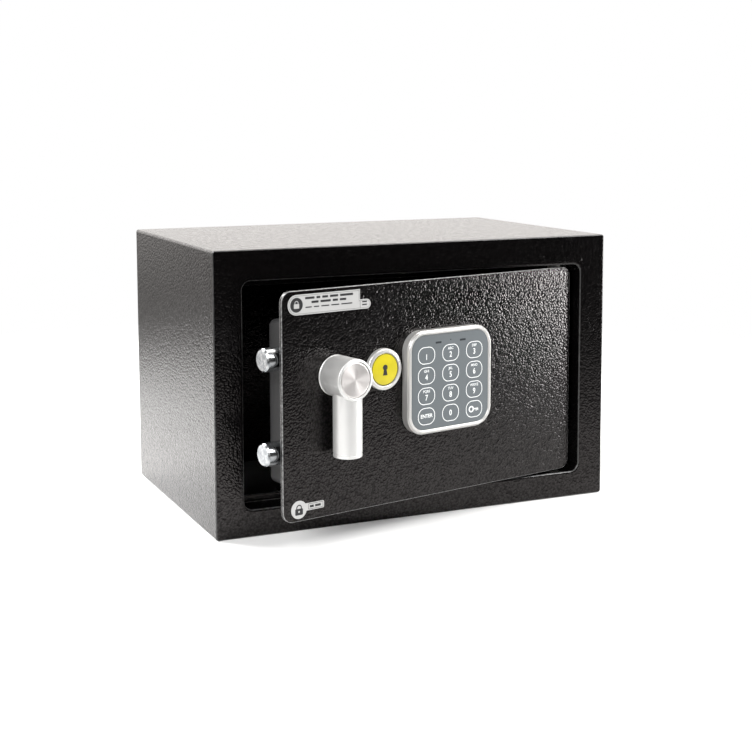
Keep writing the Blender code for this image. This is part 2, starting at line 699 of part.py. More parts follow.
def make_keypad():
    """Silver housing, grey fascia, twelve buttons, two indicators and the circuit board."""
    inner_w, inner_h = KEYPAD_W - 2 * RIM, KEYPAD_H - 2 * RIM
    inner_r = KEYPAD_R - RIM

    def ring(inset, height):
        return (
            KEYPAD_W - 2 * inset,
            KEYPAD_H - 2 * inset,
            KEYPAD_R - inset,
            0.0,
            -height,
        )

    sections = [
        ring(0, GAP),
        ring(0, KEYPAD_DEEP - 1.4),
        ring(0.4, KEYPAD_DEEP - 0.4),
        ring(1.3, KEYPAD_DEEP),
        ring(2.2, KEYPAD_DEEP - 0.1),
        ring(RIM, KEYPAD_DEEP - RIM_LIP),
        ring(RIM, GAP),
    ]
    housing = ring_solid("keypad_housing", sections, 6)
    housing.location = Vector(door_point(KEYPAD_U, 0, KEYPAD_Z)) * MM
    link(housing, SILVER, on_door=True)
    top = KEYPAD_DEEP - RIM_LIP
    loops = [round_rect(inner_w - 2 * GAP, inner_h - 2 * GAP, inner_r - GAP, 6)]
    spots = []
    for row, names in enumerate(BUTTONS):
        for column, label in enumerate(names):
            x = (column - 1) * BUTTON_PITCH_X
            z = BUTTON_ROWS_Z + (1.5 - row) * BUTTON_PITCH_Z
            spots.append((label, x, z))
            hole = round_rect(BUTTON_W + 2 * GAP, BUTTON_H + 2 * GAP, BUTTON_R + GAP, 4, x, z - KEYPAD_Z)
            loops.append(hole)
    for side in (-1, 1):
        loops.append(round_rect(5.6, 1.9, 0.5, 2, side * INDICATOR_DX, INDICATOR_Z - KEYPAD_Z))
    fascia_t = 1.4
    fascia = flat("keypad_fascia", loops, fascia_t)
    link(face_forward(fascia, KEYPAD_U, KEYPAD_Z, top - fascia_t / 2), GREY, on_door=True)
    button_top, button_back = top + 0.2, 3.6
    for label, x, z in spots:
        thick = button_top - button_back
        button = flat(f"button_{label}", [round_rect(BUTTON_W, BUTTON_H, BUTTON_R, 4)], thick)
        link(face_forward(button, KEYPAD_U + x, z, (button_top + button_back) / 2), GREY, on_door=True)
    for label, side in (("left", -1), ("right", 1)):
        lens = flat(f"indicator_{label}", [round_rect(5.0, 1.3, 0.3, 2)], 1.6)
        face_forward(lens, KEYPAD_U + side * INDICATOR_DX, INDICATOR_Z, top - 0.8)
        link(lens, SMOKE, on_door=True)
    board = flat("keypad_board", [round_rect(inner_w - 2, inner_h - 2, inner_r - 1, 4)], 1.6)
    link(face_forward(board, KEYPAD_U, KEYPAD_Z, 1.8), GREEN, on_door=True)


def make_solenoid():
    """A frame round the coil, the plunger, and the return spring under the plunger's clip."""
    half_u, half_deep = 9.0, 8.0
    u, deep = SOLENOID_U, SOLENOID_DEEP
    box = (u - half_u, u + half_u, deep - half_deep, deep + half_deep, SOLENOID_Z0, SOLENOID_Z1)
    frame = link(door_block("solenoid_frame", *box), STEEL, on_door=True)
    low, high = SOLENOID_Z0 + 1.5, SOLENOID_Z1 - 1.5
    window = (u - half_u + 1.5, u + half_u - 1.5, deep - 20, deep + 20, low, high)
    bore = rod("solenoid_bore_cutter", PLUNGER_R + GAP, 60, door_point(u, deep, SOLENOID_Z1), "Z", 24)
    cut(frame, door_block("window_cutter", *window), bore, on_door=True)
    radius, bore_r = half_u - 1.5 - GAP, PLUNGER_R + GAP
    half = (SOLENOID_Z1 - SOLENOID_Z0) / 2 - 1.5 - GAP
    profile = [(bore_r, half), (radius, half), (radius, -half), (bore_r, -half), (bore_r, half)]
    coil = turned("solenoid_coil", profile, 28)
    coil.location = Vector(door_point(u, deep, (SOLENOID_Z0 + SOLENOID_Z1) / 2)) * MM
    link(coil, COPPER, on_door=True)
    profile = [
        (0, PLUNGER_TOP),
        (PLUNGER_R - 0.6, PLUNGER_TOP),
        (PLUNGER_R, PLUNGER_TOP - 0.6),
        (PLUNGER_R, CLIP_Z1),
        (CLIP_R, CLIP_Z1),
        (CLIP_R, CLIP_Z0),
        (PLUNGER_R, CLIP_Z0),
        (PLUNGER_R, SOLENOID_Z0 + 5),
        (0, SOLENOID_Z0 + 5),
    ]
    plunger = turned("solenoid_plunger", profile, 24)
    plunger.location = Vector(door_point(u, deep, 0)) * MM
    link(plunger, STEEL, on_door=True)
    turns, per_turn, wire_r, coil_r = 4.5, 12, 0.4, 4.1
    low, high = SOLENOID_Z1 + GAP + wire_r, CLIP_Z0 - GAP - wire_r
    count = int(turns * per_turn)
    points = []
    for i in range(count + 1):
        angle = 2 * math.pi * i / per_turn
        x, y, _ = door_point(u, deep, 0)
        z = low + (high - low) * i / count
        points.append((x + coil_r * math.cos(angle), y + coil_r * math.sin(angle), z))
    link(tube("plunger_spring", points, wire_r), STEEL, on_door=True)


def make_batteries():
    """A tray for four cells behind the cover's lid, the cells, and the lid."""
    u0, u1, z0, z1 = BAY_U0 + 1, BAY_U1 - 1, BAY_Z0 + 1, BAY_Z1 - 1
    deep0, deep1 = CELL_DEEP - CELL_R - 2.0, CELL_DEEP + CELL_R - 1.0
    tray = link(door_block("battery_holder", u0, u1, deep0, deep1, z0, z1), BLACK_PLASTIC, on_door=True)
    well = door_block("well_cutter", u0 + 2, u1 - 2, deep0 + 1.6, deep1 + 9, z0 + 0.5, z1 - 0.5)
    cut(tray, well, on_door=True)
    mid_u, mid_z = (u0 + u1) / 2, (z0 + z1) / 2
    for i in range(4):
        half = CELL_LENGTH / 2
        nub = 1.2
        nub_r = 2.7
        profile = [(0, half + nub), (nub_r, half + nub), (nub_r, half)]
        profile += [(CELL_R, half), (CELL_R, -half), (0, -half)]
        cell = turned(f"battery_{i + 1}", profile, 24)
        turn = 90 if i % 2 else -90
        cell.rotation_euler = (0, math.radians(turn), 0)
        cell.location = Vector(door_point(mid_u, CELL_DEEP, mid_z + (i - 1.5) * CELL_PITCH)) * MM
        link(cell, CELL_JACKET, on_door=True)
    lid_t = 1.7
    outline = round_rect(BAY_U1 - BAY_U0 - 2 * GAP, BAY_Z1 - BAY_Z0 - 2 * GAP, 1.0, 2)
    lid = flat("battery_lid", [outline], lid_t)
    face_forward(lid, (BAY_U0 + BAY_U1) / 2, (BAY_Z0 + BAY_Z1) / 2, -(COVER_DEEP - lid_t / 2))
    link(lid, COVER_GREY, on_door=True)


def make_reset_button():
    """The code-setting button on the inside of the door."""
    profile = [(0, 1.0), (RESET_R - 0.5, 1.0), (RESET_R, 0.5), (RESET_R, -6.0), (0, -6.0)]
    button = turned("reset_button", profile, 20)
    button.rotation_euler = (math.radians(-90), 0, 0)
    button.location = Vector(door_point(RESET_U, COVER_DEEP, RESET_Z)) * MM
    link(button, RED, on_door=True)


def make_cable():
    """The lead from the keypad's board through the door plate to the solenoid, on a smooth curve."""
    u0, z0 = KEYPAD_U, KEYPAD_Z
    route = [
        (u0, 0.2, z0),
        (u0, 3.6, z0),
        (u0 - 1.6, 7.4, z0 - 1.8),
        (u0 - 5.6, 10.0, z0 - 6.4),
        (u0 - 12.5, 10.8, z0 - 15.0),
        (u0 - 21.0, 10.8, z0 - 25.0),
        (u0 - 27.5, 11.2, z0 - 31.8),
        (SOLENOID_U + 10.2, 12.0, z0 - 36),
    ]
    points = []
    knots = [Vector(door_point(*p)) for p in route]
    knots = [knots[0] * 2 - knots[1], *knots, knots[-1] * 2 - knots[-2]]
    for a, b, c, d in zip(knots, knots[1:], knots[2:], knots[3:]):
        for i in range(4):
            t = i / 4
            square, cube = 2 * a - 5 * b + 4 * c - d, 3 * b - a - 3 * c + d
            points.append((2 * b + (c - a) * t + square * t**2 + cube * t**3) / 2)
    points.append(knots[-2])
    link(tube("control_cable", points, LEAD_R), BLACK_PLASTIC, on_door=True)


def make_stickers():
    """Two blank stickers: a notice at the top left with a peel tab, and a round mark at the bottom left."""
    low_z, high_z = NOTICE_Z
    end_r = (high_z - low_z) / 2
    outline = arc(NOTICE_U[0] + end_r, low_z + end_r, end_r, 90, 270, 10)
    outline += arc(NOTICE_TAB_U - NOTICE_TAB_R, low_z + NOTICE_TAB_R, NOTICE_TAB_R, -90, 90, 8)
    outline += [(NOTICE_U[1], low_z + 2 * NOTICE_TAB_R), (NOTICE_U[1], high_z)]
    notice = flat("notice_label", [outline], STICKER_T)
    link(face_forward(notice, 0, 0, GAP + STICKER_T / 2), WHITE, on_door=True)
    tag_low, tag_high = MARK_TAG_Z
    start = math.degrees(math.asin((tag_high - MARK_Z) / MARK_R))
    stop = math.degrees(math.asin((tag_low - MARK_Z) / MARK_R))
    outline = arc(MARK_U, MARK_Z, MARK_R, start, 360 + stop, 24)
    outline += arc(MARK_TAG_U - 1, tag_low + 1, 1, -90, 0, 3)
    outline += arc(MARK_TAG_U - 1, tag_high - 1, 1, 0, 90, 3)
    mark = flat("corner_label", [outline], STICKER_T)
    link(face_forward(mark, 0, 0, GAP + STICKER_T / 2), WHITE, on_door=True)


def main():
    make_body_shell()
    make_back_panel()
    make_front_frame()
    make_floor_mat()
    make_door_plate()
    make_hinges()
    make_inner_cover()
    make_bolt_guide()
    make_bolts()
    make_carriage()
    make_spindle_crank()
    make_handle()
    make_override_lock()
    make_keypad()
    make_solenoid()
    make_batteries()
    make_reset_button()
    make_cable()
    make_stickers()


main()
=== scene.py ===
"""Looks of the in-room safe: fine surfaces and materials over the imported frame, soft light and the camera."""

import json
import math

import bmesh
import bpy
from mathutils import Matrix, Vector


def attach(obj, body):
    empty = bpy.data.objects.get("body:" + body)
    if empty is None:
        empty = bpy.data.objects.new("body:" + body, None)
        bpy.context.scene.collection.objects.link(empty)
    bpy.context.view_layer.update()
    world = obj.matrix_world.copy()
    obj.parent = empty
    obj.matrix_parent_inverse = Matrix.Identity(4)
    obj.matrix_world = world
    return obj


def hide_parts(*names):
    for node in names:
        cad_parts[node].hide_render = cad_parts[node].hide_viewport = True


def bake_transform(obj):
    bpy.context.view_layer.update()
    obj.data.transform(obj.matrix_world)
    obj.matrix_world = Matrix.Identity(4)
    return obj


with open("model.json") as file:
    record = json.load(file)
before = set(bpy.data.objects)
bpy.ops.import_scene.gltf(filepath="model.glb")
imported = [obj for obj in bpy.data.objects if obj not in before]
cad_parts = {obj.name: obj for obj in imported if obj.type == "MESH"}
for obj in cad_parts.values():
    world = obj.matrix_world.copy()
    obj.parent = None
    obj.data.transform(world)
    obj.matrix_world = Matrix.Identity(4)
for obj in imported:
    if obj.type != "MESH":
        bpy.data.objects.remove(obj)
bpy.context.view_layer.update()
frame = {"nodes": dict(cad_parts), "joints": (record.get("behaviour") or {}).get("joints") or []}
MM = 0.001

# Cabinet, in millimetres; x and z as in the frame
BODY_W, BODY_D, BODY_H, SHEET = 310.0, 200.0, 200.0, 1.5
BODY_R, FACE_EDGE_R = 2.0, 1.3
OPEN_W, OPEN_H, OPEN_Z, OPEN_R = 268.0, 158.5, 98.75, 6.0
BEND_R, JAMB_DEPTH, STOP_SIDE, STOP_TALL = 2.3, 19.0, 2.5, 5.0
FRONT_Y = -BODY_D / 2

# Door; its own coordinates are u from its left edge, depth behind its face, and z
DOOR_W, DOOR_H, DOOR_T, DOOR_R = 258.6, 155.0, 3.0, 7.5
DOOR_LEFT, FACE_Y = -OPEN_W / 2 + 2.2, FRONT_Y + 3.5
BOLT_R, BOLT_DEEP, BOLT_TIP_U, BOLT_END_U = 8.0, 12.0, -8.0, 24.0
BOLT_Z = (OPEN_Z - 31.75, OPEN_Z + 31.75)
COVER_U0, COVER_U1, COVER_DEEP, COVER_H, COVER_WALL, COVER_R = 8.0, 232.0, 31.0, 112.0, 2.0, 5.0
BAY = (134.0, 192.0, 68.0, 130.0)  # battery bay: u0, u1, z0, z1
RESET_U, RESET_Z = 116.0, 138.0
HANDLE_U, HANDLE_Z, HUB_R, HUB_H, DISC_R = 42.3, 117.0, 14.0, 24.1, 11.9
LEVER_R, LEVER_AXIS_H, LEVER_REACH = 9.9, 14.2, 53.0
LOCK_U, LOCK_Z, BARREL_R, BARREL_BACK = 81.3, 117.0, 9.0, 23.6
BADGE_R, BADGE_H, BADGE_DISC_R = 14.6, 4.0, 11.3
KEYPAD_U, KEYPAD_Z, KEYPAD_W, KEYPAD_H, KEYPAD_R, KEYPAD_DEEP = 136.3, 104.5, 75.6, 73.2, 14.0, 8.0
RIM, RIM_LIP = 3.2, 0.7
KEY_W, KEY_H, KEY_R, KEY_PITCH_X, KEY_PITCH_Z, KEYS_Z = 15.2, 12.2, 5.6, 21.7, 14.35, KEYPAD_Z - 2.3
KEYS = (
    (("1", "1", ""), ("2", "2", "ABC"), ("3", "3", "DEF")),
    (("4", "4", "GHI"), ("5", "5", "JKL"), ("6", "6", "MNO")),
    (("7", "7", "PQRS"), ("8", "8", "TUV"), ("9", "9", "WXYZ")),
    (("enter", "ENTER", ""), ("0", "0", ""), ("program", "", "")),
)
NOTICE_U, NOTICE_Z = (4.8, 62.8, 71.7), (160.0, 173.6)  # left, end of the strip, end of its tab
MARK_CENTRE, MARK_R, MARK_TAG = (12.3, 29.4), 6.15, (32.4, 27.9, 32.9)  # tag: its end, bottom and top
SOLENOID_U, SOLENOID_DEEP, SOLENOID_TOP, CLIP_Z = 93.0, 20.2, 82.0, 89.8
DOOR_EDGE_R = 0.75
LEAD_R = 1.3

# Studio: floor centre and where it fades, brightness of the wall behind and of the room, and soft cards
# as (direction, inner and outer half angle in degrees, brightness)
FLOOR_CENTRE, FLOOR_FADE = (0.02, 0.12), (0.1, 0.8)
WALL, ROOM = 1.5, 0.03
CARDS = (
    ((-0.85, 0.45, 0.0), 14, 40, 0.8),
    ((-0.75, -0.6, 0.3), 10, 26, 0.75),
    ((1.0, 0.1, 0.15), 10, 26, 1.4),
    ((0.5, 0.1, 0.85), 14, 28, 4.5),
)

LIGHTS = (  # name, place, target, size in metres, power
    ("key", (-0.8, 1.0, 1.3), (-0.1, 0.2, 0.0), (0.9, 0.9), 70),
    ("right_box", (0.8, -0.42, 0.1), (0.05, -0.1, 0.1), (0.12, 0.2), 2.3),
    ("floor_fill", (0.9, -0.9, 1.0), (0.25, -0.4, 0.0), (0.5, 0.5), 16),
    ("front_fill", (-1.4, -1.1, 1.3), (0, 0, 0.1), (1.1, 1.1), 44),
)
CAMERA_PLACE, CAMERA_TURN = (-0.4418, -1.0115, 0.2916), (83.99, 0.14, -24.08)
FOCAL_LENGTH, SHIFT_Y = 68.08, -0.15

hinge = next(j for j in frame["joints"] if j["name"] == "door_hinge")
HINGE = Vector((hinge["pos_m"][0], hinge["pos_m"][1], 0))
SWING = Matrix.Rotation(math.radians(-hinge["range_deg"][0]), 4, "Z")
DOOR = (
    Matrix.Translation(HINGE)
    @ SWING
    @ Matrix.Translation(Vector((DOOR_LEFT * MM, FACE_Y * MM, 0)) - HINGE)
)


def at(x, y, z):
    return Matrix.Translation(Vector((x, y, z)) * MM)


def turned(degrees, axis):
    return Matrix.Rotation(math.radians(degrees), 4, axis)


def on_hinge(z):
    return Matrix.Translation((HINGE.x, HINGE.y, z * MM))


def on_face(u, z, height=0.0):
    """Local X along the door, local Y up it and local Z out of it, from a point that high above the face."""
    return DOOR @ at(u, -height, z) @ turned(90, "X")


def on_back(u, z, depth):
    """Local Z out of the door's back, from a point that deep behind its face."""
    return DOOR @ at(u, depth, z) @ turned(-90, "X")


# ------------ shapes


def arc(cx, cy, radius, start, stop, steps):
    turn = [math.radians(start + (stop - start) * i / steps) for i in range(steps + 1)]
    return [(cx + radius * math.cos(a), cy + radius * math.sin(a)) for a in turn]


def circle(radius, cx=0.0, cy=0.0, steps=64):
    return arc(cx, cy, radius, 0, 360 - 360 / steps, steps - 1)


def round_rect(width, height, radius, steps=9, cx=0.0, cy=0.0):
    x, y = width / 2 - radius, height / 2 - radius
    points = []
    for sx, sy, start in ((1, 1, 0), (-1, 1, 90), (-1, -1, 180), (1, -1, 270)):
        points += arc(cx + sx * x, cy + sy * y, radius, start, start + 90, steps)
    return points


def fillet(points, steps=4):
    """A run of (x, y) or (x, y, radius) with each given corner rounded."""
    out = [tuple(points[0][:2])]
    for before, here, after in zip(points, points[1:], points[2:]):
        p = Vector(here[:2])
        if len(here) < 3:
            out.append(tuple(p))
            continue
        a, b = Vector(before[:2]) - p, Vector(after[:2]) - p
        cut = here[2] / math.tan(a.angle(b) / 2)
        start, end = p + a.normalized() * cut, p + b.normalized() * cut
        for i in range(steps + 1):
            t = i / steps
            out.append(tuple((1 - t) ** 2 * start + 2 * t * (1 - t) * p + t * t * end))
    out.append(tuple(points[-1][:2]))
    return out


def new_object(name, data, matrix=None):
    obj = bpy.data.objects.new(name, data)
    bpy.context.scene.collection.objects.link(obj)
    if matrix is not None:
        obj.matrix_world = matrix
    return obj


def from_bmesh(name, bm, matrix=None, outward=True):
    mesh = bpy.data.meshes.new(name)
    if outward:
        bmesh.ops.recalc_face_normals(bm, faces=bm.faces)
    bm.to_mesh(mesh)
    bm.free()
    return new_object(name, mesh, matrix)


def baked(obj):
    """The object with its modifiers or its curve turned into plain mesh."""
    bpy.context.view_layer.update()
    graph = bpy.context.evaluated_depsgraph_get()
    mesh = bpy.data.meshes.new_from_object(obj.evaluated_get(graph))
    name, matrix = obj.name, obj.matrix_world.copy()
    bpy.data.objects.remove(obj, do_unlink=True)
    made = new_object(name, mesh, matrix)
    made.name = name
    return made


def weld(obj, distance=1e-6):
    bm = bmesh.new()
    bm.from_mesh(obj.data)
    bmesh.ops.remove_doubles(bm, verts=bm.verts, dist=distance)
    bmesh.ops.recalc_face_normals(bm, faces=bm.faces)
    bm.to_mesh(obj.data)
    bm.free()
    return obj


def soften(obj, width, segments=2, angle=50):
    """Rounds the edges that are sharper than the angle."""
    bevel = obj.modifiers.new("edge", "BEVEL")
    bevel.width = width * MM
    bevel.segments = segments
    bevel.limit_method = "ANGLE"
    bevel.angle_limit = math.radians(angle)


def lathe(name, profile, matrix=None, sides=96):
    """A filleted profile of (radius, height), top to bottom, turned about local Z."""
    bm = bmesh.new()
    verts = [bm.verts.new((r * MM, 0, h * MM)) for r, h in fillet(profile)]
    for a, b in zip(verts, verts[1:]):
        bm.edges.new((a, b))
    obj = from_bmesh(name, bm, matrix, outward=False)
    screw = obj.modifiers.new("turn", "SCREW")
    screw.steps = screw.render_steps = sides
    screw.use_merge_vertices = True
    screw.merge_threshold = 1e-5
    return baked(obj)


def flat(name, loops, thickness, matrix=None, edge=0.0, segments=2):
    """A flat piece from its outline and its holes, centred on local Z, with rounded edges."""
    curve = bpy.data.curves.new(name, "CURVE")
    curve.dimensions = "2D"
    curve.fill_mode = "BOTH"
    curve.extrude = thickness / 2 * MM
    for loop in loops:
        spline = curve.splines.new("POLY")
        spline.points.add(len(loop) - 1)
        for point, (x, y) in zip(spline.points, loop):
            point.co = (x * MM, y * MM, 0, 1)
        spline.use_cyclic_u = True
    obj = weld(baked(new_object(name, curve, matrix)))
    if edge:
        soften(obj, edge, segments)
    return obj


def ribbon(name, outer, inner, matrix):
    """Thin printed line between two outlines with as many points each."""
    bm = bmesh.new()
    a = [bm.verts.new((x * MM, y * MM, 0)) for x, y in outer]
    b = [bm.verts.new((x * MM, y * MM, 0)) for x, y in inner]
    for i in range(len(a)):
        bm.faces.new((a[i - 1], a[i], b[i], b[i - 1]))
    return from_bmesh(name, bm, matrix, outward=False)


def loft(name, rings, matrix=None, steps=9, closed=True):
    """Rings of (width, height, radius, centre x, centre z, y), joined in a loop or capped at both ends."""
    bm = bmesh.new()
    loops = []
    for width, height, radius, cx, cz, y in rings:
        points = round_rect(width, height, radius, steps, cx, cz)
        loops.append([bm.verts.new((x * MM, y * MM, z * MM)) for x, z in points])
    pairs = list(zip(loops, loops[1:]))
    if closed:
        pairs.append((loops[-1], loops[0]))
    else:
        bm.faces.new(loops[0])
        bm.faces.new(loops[-1])
    count = len(loops[0])
    for a, b in pairs:
        for i in range(count):
            j = (i + 1) % count
            bm.faces.new((a[i], a[j], b[j], b[i]))
    return from_bmesh(name, bm, matrix)


def box(name, low, high, matrix=None):
    bm = bmesh.new()
    bmesh.ops.create_cube(bm, size=1.0)
    low, high = Vector(low) * MM, Vector(high) * MM
    bmesh.ops.scale(bm, vec=high - low, verts=bm.verts)
    bmesh.ops.translate(bm, vec=(low + high) / 2, verts=bm.verts)
    return from_bmesh(name, bm, matrix)


def carve(obj, *cutters):
    """Cuts the cutters out of the object, and removes them."""
    for cutter in cutters:
        mod = obj.modifiers.new("cut", "BOOLEAN")
        mod.operation = "DIFFERENCE"
        mod.solver = "EXACT"
        mod.object = cutter
    obj = baked(obj)
    for cutter in cutters:
        bpy.data.objects.remove(cutter, do_unlink=True)
    return obj


def rod_cutter(radius, length, matrix, sides=48):
    bm = bmesh.new()
    size = {"radius1": radius * MM, "radius2": radius * MM, "depth": length * MM}
    bmesh.ops.create_cone(bm, cap_ends=True, segments=sides, **size)
    return from_bmesh("cutter", bm, matrix)


def wire(name, points, radius, smoothness, matrix=None):
    """A round tube along points in metres."""
    curve = bpy.data.curves.new(name, "CURVE")
    curve.dimensions = "3D"
    curve.bevel_depth = radius * MM
    curve.bevel_resolution = smoothness
    curve.use_fill_caps = True
    spline = curve.splines.new("POLY")
    spline.points.add(len(points) - 1)
    for spot, point in zip(spline.points, points):
        spot.co = (*point, 1)
    return new_object(name, curve, matrix)


def even_shading(obj, angle=32):
    obj.data.shade_smooth()
    obj.data.set_sharp_from_angle(angle=math.radians(angle))
    normals = obj.modifiers.new("even_normals", "WEIGHTED_NORMAL")
    normals.keep_sharp = True


def text(name, words, size, x, y, matrix, bold=0.0, stretch=1.0):
    """Flat lettering centred on a point, in the plane of the matrix."""
    curve = bpy.data.curves.new(name, "FONT")
    curve.body = words
    curve.size = size * MM
    curve.align_x = "CENTER"
    curve.align_y = "CENTER"
    curve.offset = bold * MM
    curve.extrude = 0.01 * MM
    place = matrix @ at(x, y, 0) @ Matrix.Diagonal((stretch, 1, 1, 1))
    return baked(new_object(name, curve, place))


def merged(name, objects):
    """Several mesh objects as one piece, in the frame of the first."""
    first = objects[0]
    bm = bmesh.new()
    for obj in objects:
        part = obj.data.copy()
        part.transform(first.matrix_world.inverted() @ obj.matrix_world)
        bm.from_mesh(part)
        bpy.data.meshes.remove(part)
    matrix = first.matrix_world.copy()
    for obj in objects:
        bpy.data.objects.remove(obj, do_unlink=True)
    return from_bmesh(name, bm, matrix, outward=False)


def piece(obj, body, material, slot, *nodes, smooth=32):
    """Gives a finished mesh its material, its body and the CAD nodes that it stands for."""
    obj.data.materials.clear()
    obj.data.materials.append(material)
    if smooth:
        even_shading(obj, smooth)
    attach(obj, body)
    if nodes:
        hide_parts(*nodes)
    return obj


def paint_slope_highlight(obj, material, low, high):
    """Puts the painted-highlight material on the faces that slope between the front and the sides."""
    obj.data.materials.append(material)
    for face in obj.data.polygons:
        if low < -face.normal.y < high or low < face.normal.y < high:
            face.material_index = 1


# ------------ materials


class Nodes:
    """Short ways to build up a node tree."""

    def __init__(self, tree):
        self.tree = tree

    def node(self, kind, **inputs):
        made = self.tree.nodes.new(kind)
        for key, value in inputs.items():
            self.set(made.inputs[key.replace("_", " ")], value)
        return made

    def set(self, socket, value):
        if isinstance(value, bpy.types.NodeSocket):
            self.tree.links.new(value, socket)
        else:
            socket.default_value = value

    def math(self, operation, a, b=0.0, c=0.0):
        made = self.node("ShaderNodeMath")
        made.operation = operation
        for socket, value in zip(made.inputs, (a, b, c)):
            self.set(socket, value)
        return made.outputs[0]


class Finish(Nodes):
    """A Principled material, whose noises and bumps follow the piece's own coordinates."""

    def __init__(self, name, colour, roughness, metallic=0.0, **inputs):
        self.material = bpy.data.materials.new(name)
        self.material.use_nodes = True
        super().__init__(self.material.node_tree)
        self.shader = self.tree.nodes["Principled BSDF"]
        self.use("Base Color", (*colour, 1))
        self.use("Roughness", roughness)
        self.use("Metallic", metallic)
        for key, value in inputs.items():
            self.use(key.replace("_", " "), value)
        self.coords = self.node("ShaderNodeTexCoord").outputs["Object"]

    def use(self, name, value):
        self.set(self.shader.inputs[name], value)

    def noise(self, scale, detail=3.0, roughness=0.5, vector=None, stretch=None):
        vector = vector or self.coords
        if stretch:
            mapping = self.node("ShaderNodeMapping", Vector=vector, Scale=stretch)
            vector = mapping.outputs["Vector"]
        made = self.node("ShaderNodeTexNoise", Vector=vector, Scale=scale, Detail=detail, Roughness=roughness)
        return made.outputs["Fac"]

    def span(self, value, low, high, to_low, to_high):
        made = self.node("ShaderNodeMapRange", Value=value)
        for socket, number in zip(list(made.inputs)[1:5], (low, high, to_low, to_high)):
            socket.default_value = number
        return made.outputs["Result"]

    def ramp(self, value, *stops):
        made = self.node("ShaderNodeValToRGB", Fac=value)
        while len(made.color_ramp.elements) < len(stops):
            made.color_ramp.elements.new(0.5)
        for element, (place, colour) in zip(made.color_ramp.elements, stops):
            element.position = place
            element.color = (*colour, 1)
        return made.outputs["Color"]

    def bump(self, height, distance, strength=1.0):
        """Adds a bump of that height in millimetres on top of any before it."""
        made = self.node("ShaderNodeBump", Height=height, Distance=distance * MM, Strength=strength)
        before = self.shader.inputs["Normal"].links
        if before:
            self.set(made.inputs["Normal"], before[0].from_socket)
        self.use("Normal", made.outputs["Normal"])


def enamel():
    """Black textured enamel: glossy leather-like pebbles."""
    f = Finish("textured_black_enamel", (0.0015, 0.0013, 0.0014), 0.18, IOR=1.45)
    f.use("Specular Tint", (1.0, 0.94, 0.93, 1))
    wander = f.node("ShaderNodeTexNoise", Vector=f.coords, Scale=230.0, Detail=2.0)
    shift = f.tree.nodes.new("ShaderNodeVectorMath")
    shift.operation = "MULTIPLY_ADD"
    f.set(shift.inputs[0], wander.outputs["Color"])
    shift.inputs[1].default_value = (0.0026,) * 3
    f.set(shift.inputs[2], f.coords)
    pebbles = f.node("ShaderNodeTexVoronoi", Vector=shift.outputs[0], Scale=620.0)
    pebbles.feature = "SMOOTH_F1"
    pebbles.inputs["Smoothness"].default_value = 0.25
    domes = f.math("POWER", pebbles.outputs["Distance"], 1.7)
    height = f.math("MULTIPLY", domes, -1.0)
    height = f.math("MULTIPLY_ADD", f.noise(1300.0, 2.0), 0.06, height)
    f.bump(height, 0.2)
    f.use("Specular IOR Level", f.span(pebbles.outputs["Distance"], 0.25, 0.75, 0.68, 0.3))
    f.use("Roughness", f.span(f.noise(240.0, 2.0), 0.3, 0.7, 0.14, 0.22))
    return f.material


def enamel_with_painted_highlight(name, dark, light):
    """The same enamel, lighter over an arris or a fold: a painted highlight in place of the soft boxes'
    reflection there.
    """
    f = Finish(name, (light,) * 3, 0.32)
    f.use("Base Color", f.ramp(f.noise(420.0, 4.0), (0.35, (dark,) * 3), (0.62, (light,) * 3)))
    f.bump(f.noise(700.0, 2.0), 0.03)
    return f.material


def moulding():
    """Dark grey satin moulding with a fine spark-eroded grain."""
    f = Finish("dark_grey_moulding", (0.02, 0.02, 0.021), 0.46, Specular_IOR_Level=0.42)
    f.bump(f.noise(2600.0, 2.0), 0.03)
    f.use("Roughness", f.span(f.noise(90.0), 0.3, 0.7, 0.4, 0.52))
    return f.material


def satin_zinc():
    """Satin-plated die casting."""
    f = Finish("satin_zinc", (0.82, 0.82, 0.81), 0.42, 0.75)
    f.bump(f.noise(3000.0, 2.0), 0.006)
    f.use("Roughness", f.span(f.noise(160.0, 4.0), 0.3, 0.7, 0.4, 0.5))
    return f.material


def spun_zinc():
    """Disc turned with fine rings, whose highlights fan out from the centre."""
    f = Finish("spun_zinc", (0.8, 0.77, 0.755), 0.36, 0.85, Anisotropic=0.75)
    tangent = f.tree.nodes.new("ShaderNodeTangent")
    tangent.direction_type = "RADIAL"
    tangent.axis = "Z"
    f.use("Tangent", tangent.outputs["Tangent"])
    rings = f.node("ShaderNodeTexWave", Vector=f.coords, Scale=900.0, Distortion=1.5, Detail=2.0)
    rings.wave_type = "RINGS"
    rings.rings_direction = "Z"
    f.bump(rings.outputs["Fac"], 0.004)
    return f.material


def plated_steel():
    """Bright plated steel with faint turning marks and stains."""
    f = Finish("plated_steel", (0.6, 0.6, 0.61), 0.18, 1.0)
    stains = f.noise(330.0, 5.0, 0.65)
    f.use("Base Color", f.ramp(stains, (0.38, (0.26, 0.275, 0.29)), (0.62, (0.5, 0.51, 0.52))))
    f.bump(f.noise(900.0, 3.0, stretch=(0.2, 0.2, 3.0)), 0.003)
    f.use("Roughness", f.span(f.noise(200.0, 4.0), 0.3, 0.7, 0.14, 0.28))
    return f.material


def pressed_steel():
    """Zinc-plated sheet with a faint spangle."""
    f = Finish("zinc_plated_sheet", (0.6, 0.6, 0.6), 0.34, 1.0)
    spangle = f.node("ShaderNodeTexVoronoi", Vector=f.coords, Scale=260.0)
    f.use("Roughness", f.span(spangle.outputs["Distance"], 0.0, 1.0, 0.26, 0.46))
    f.use("Base Color", f.ramp(f.noise(60.0, 4.0), (0.3, (0.5, 0.5, 0.5)), (0.7, (0.66, 0.66, 0.65))))
    f.bump(f.noise(1200.0, 3.0), 0.008)
    return f.material


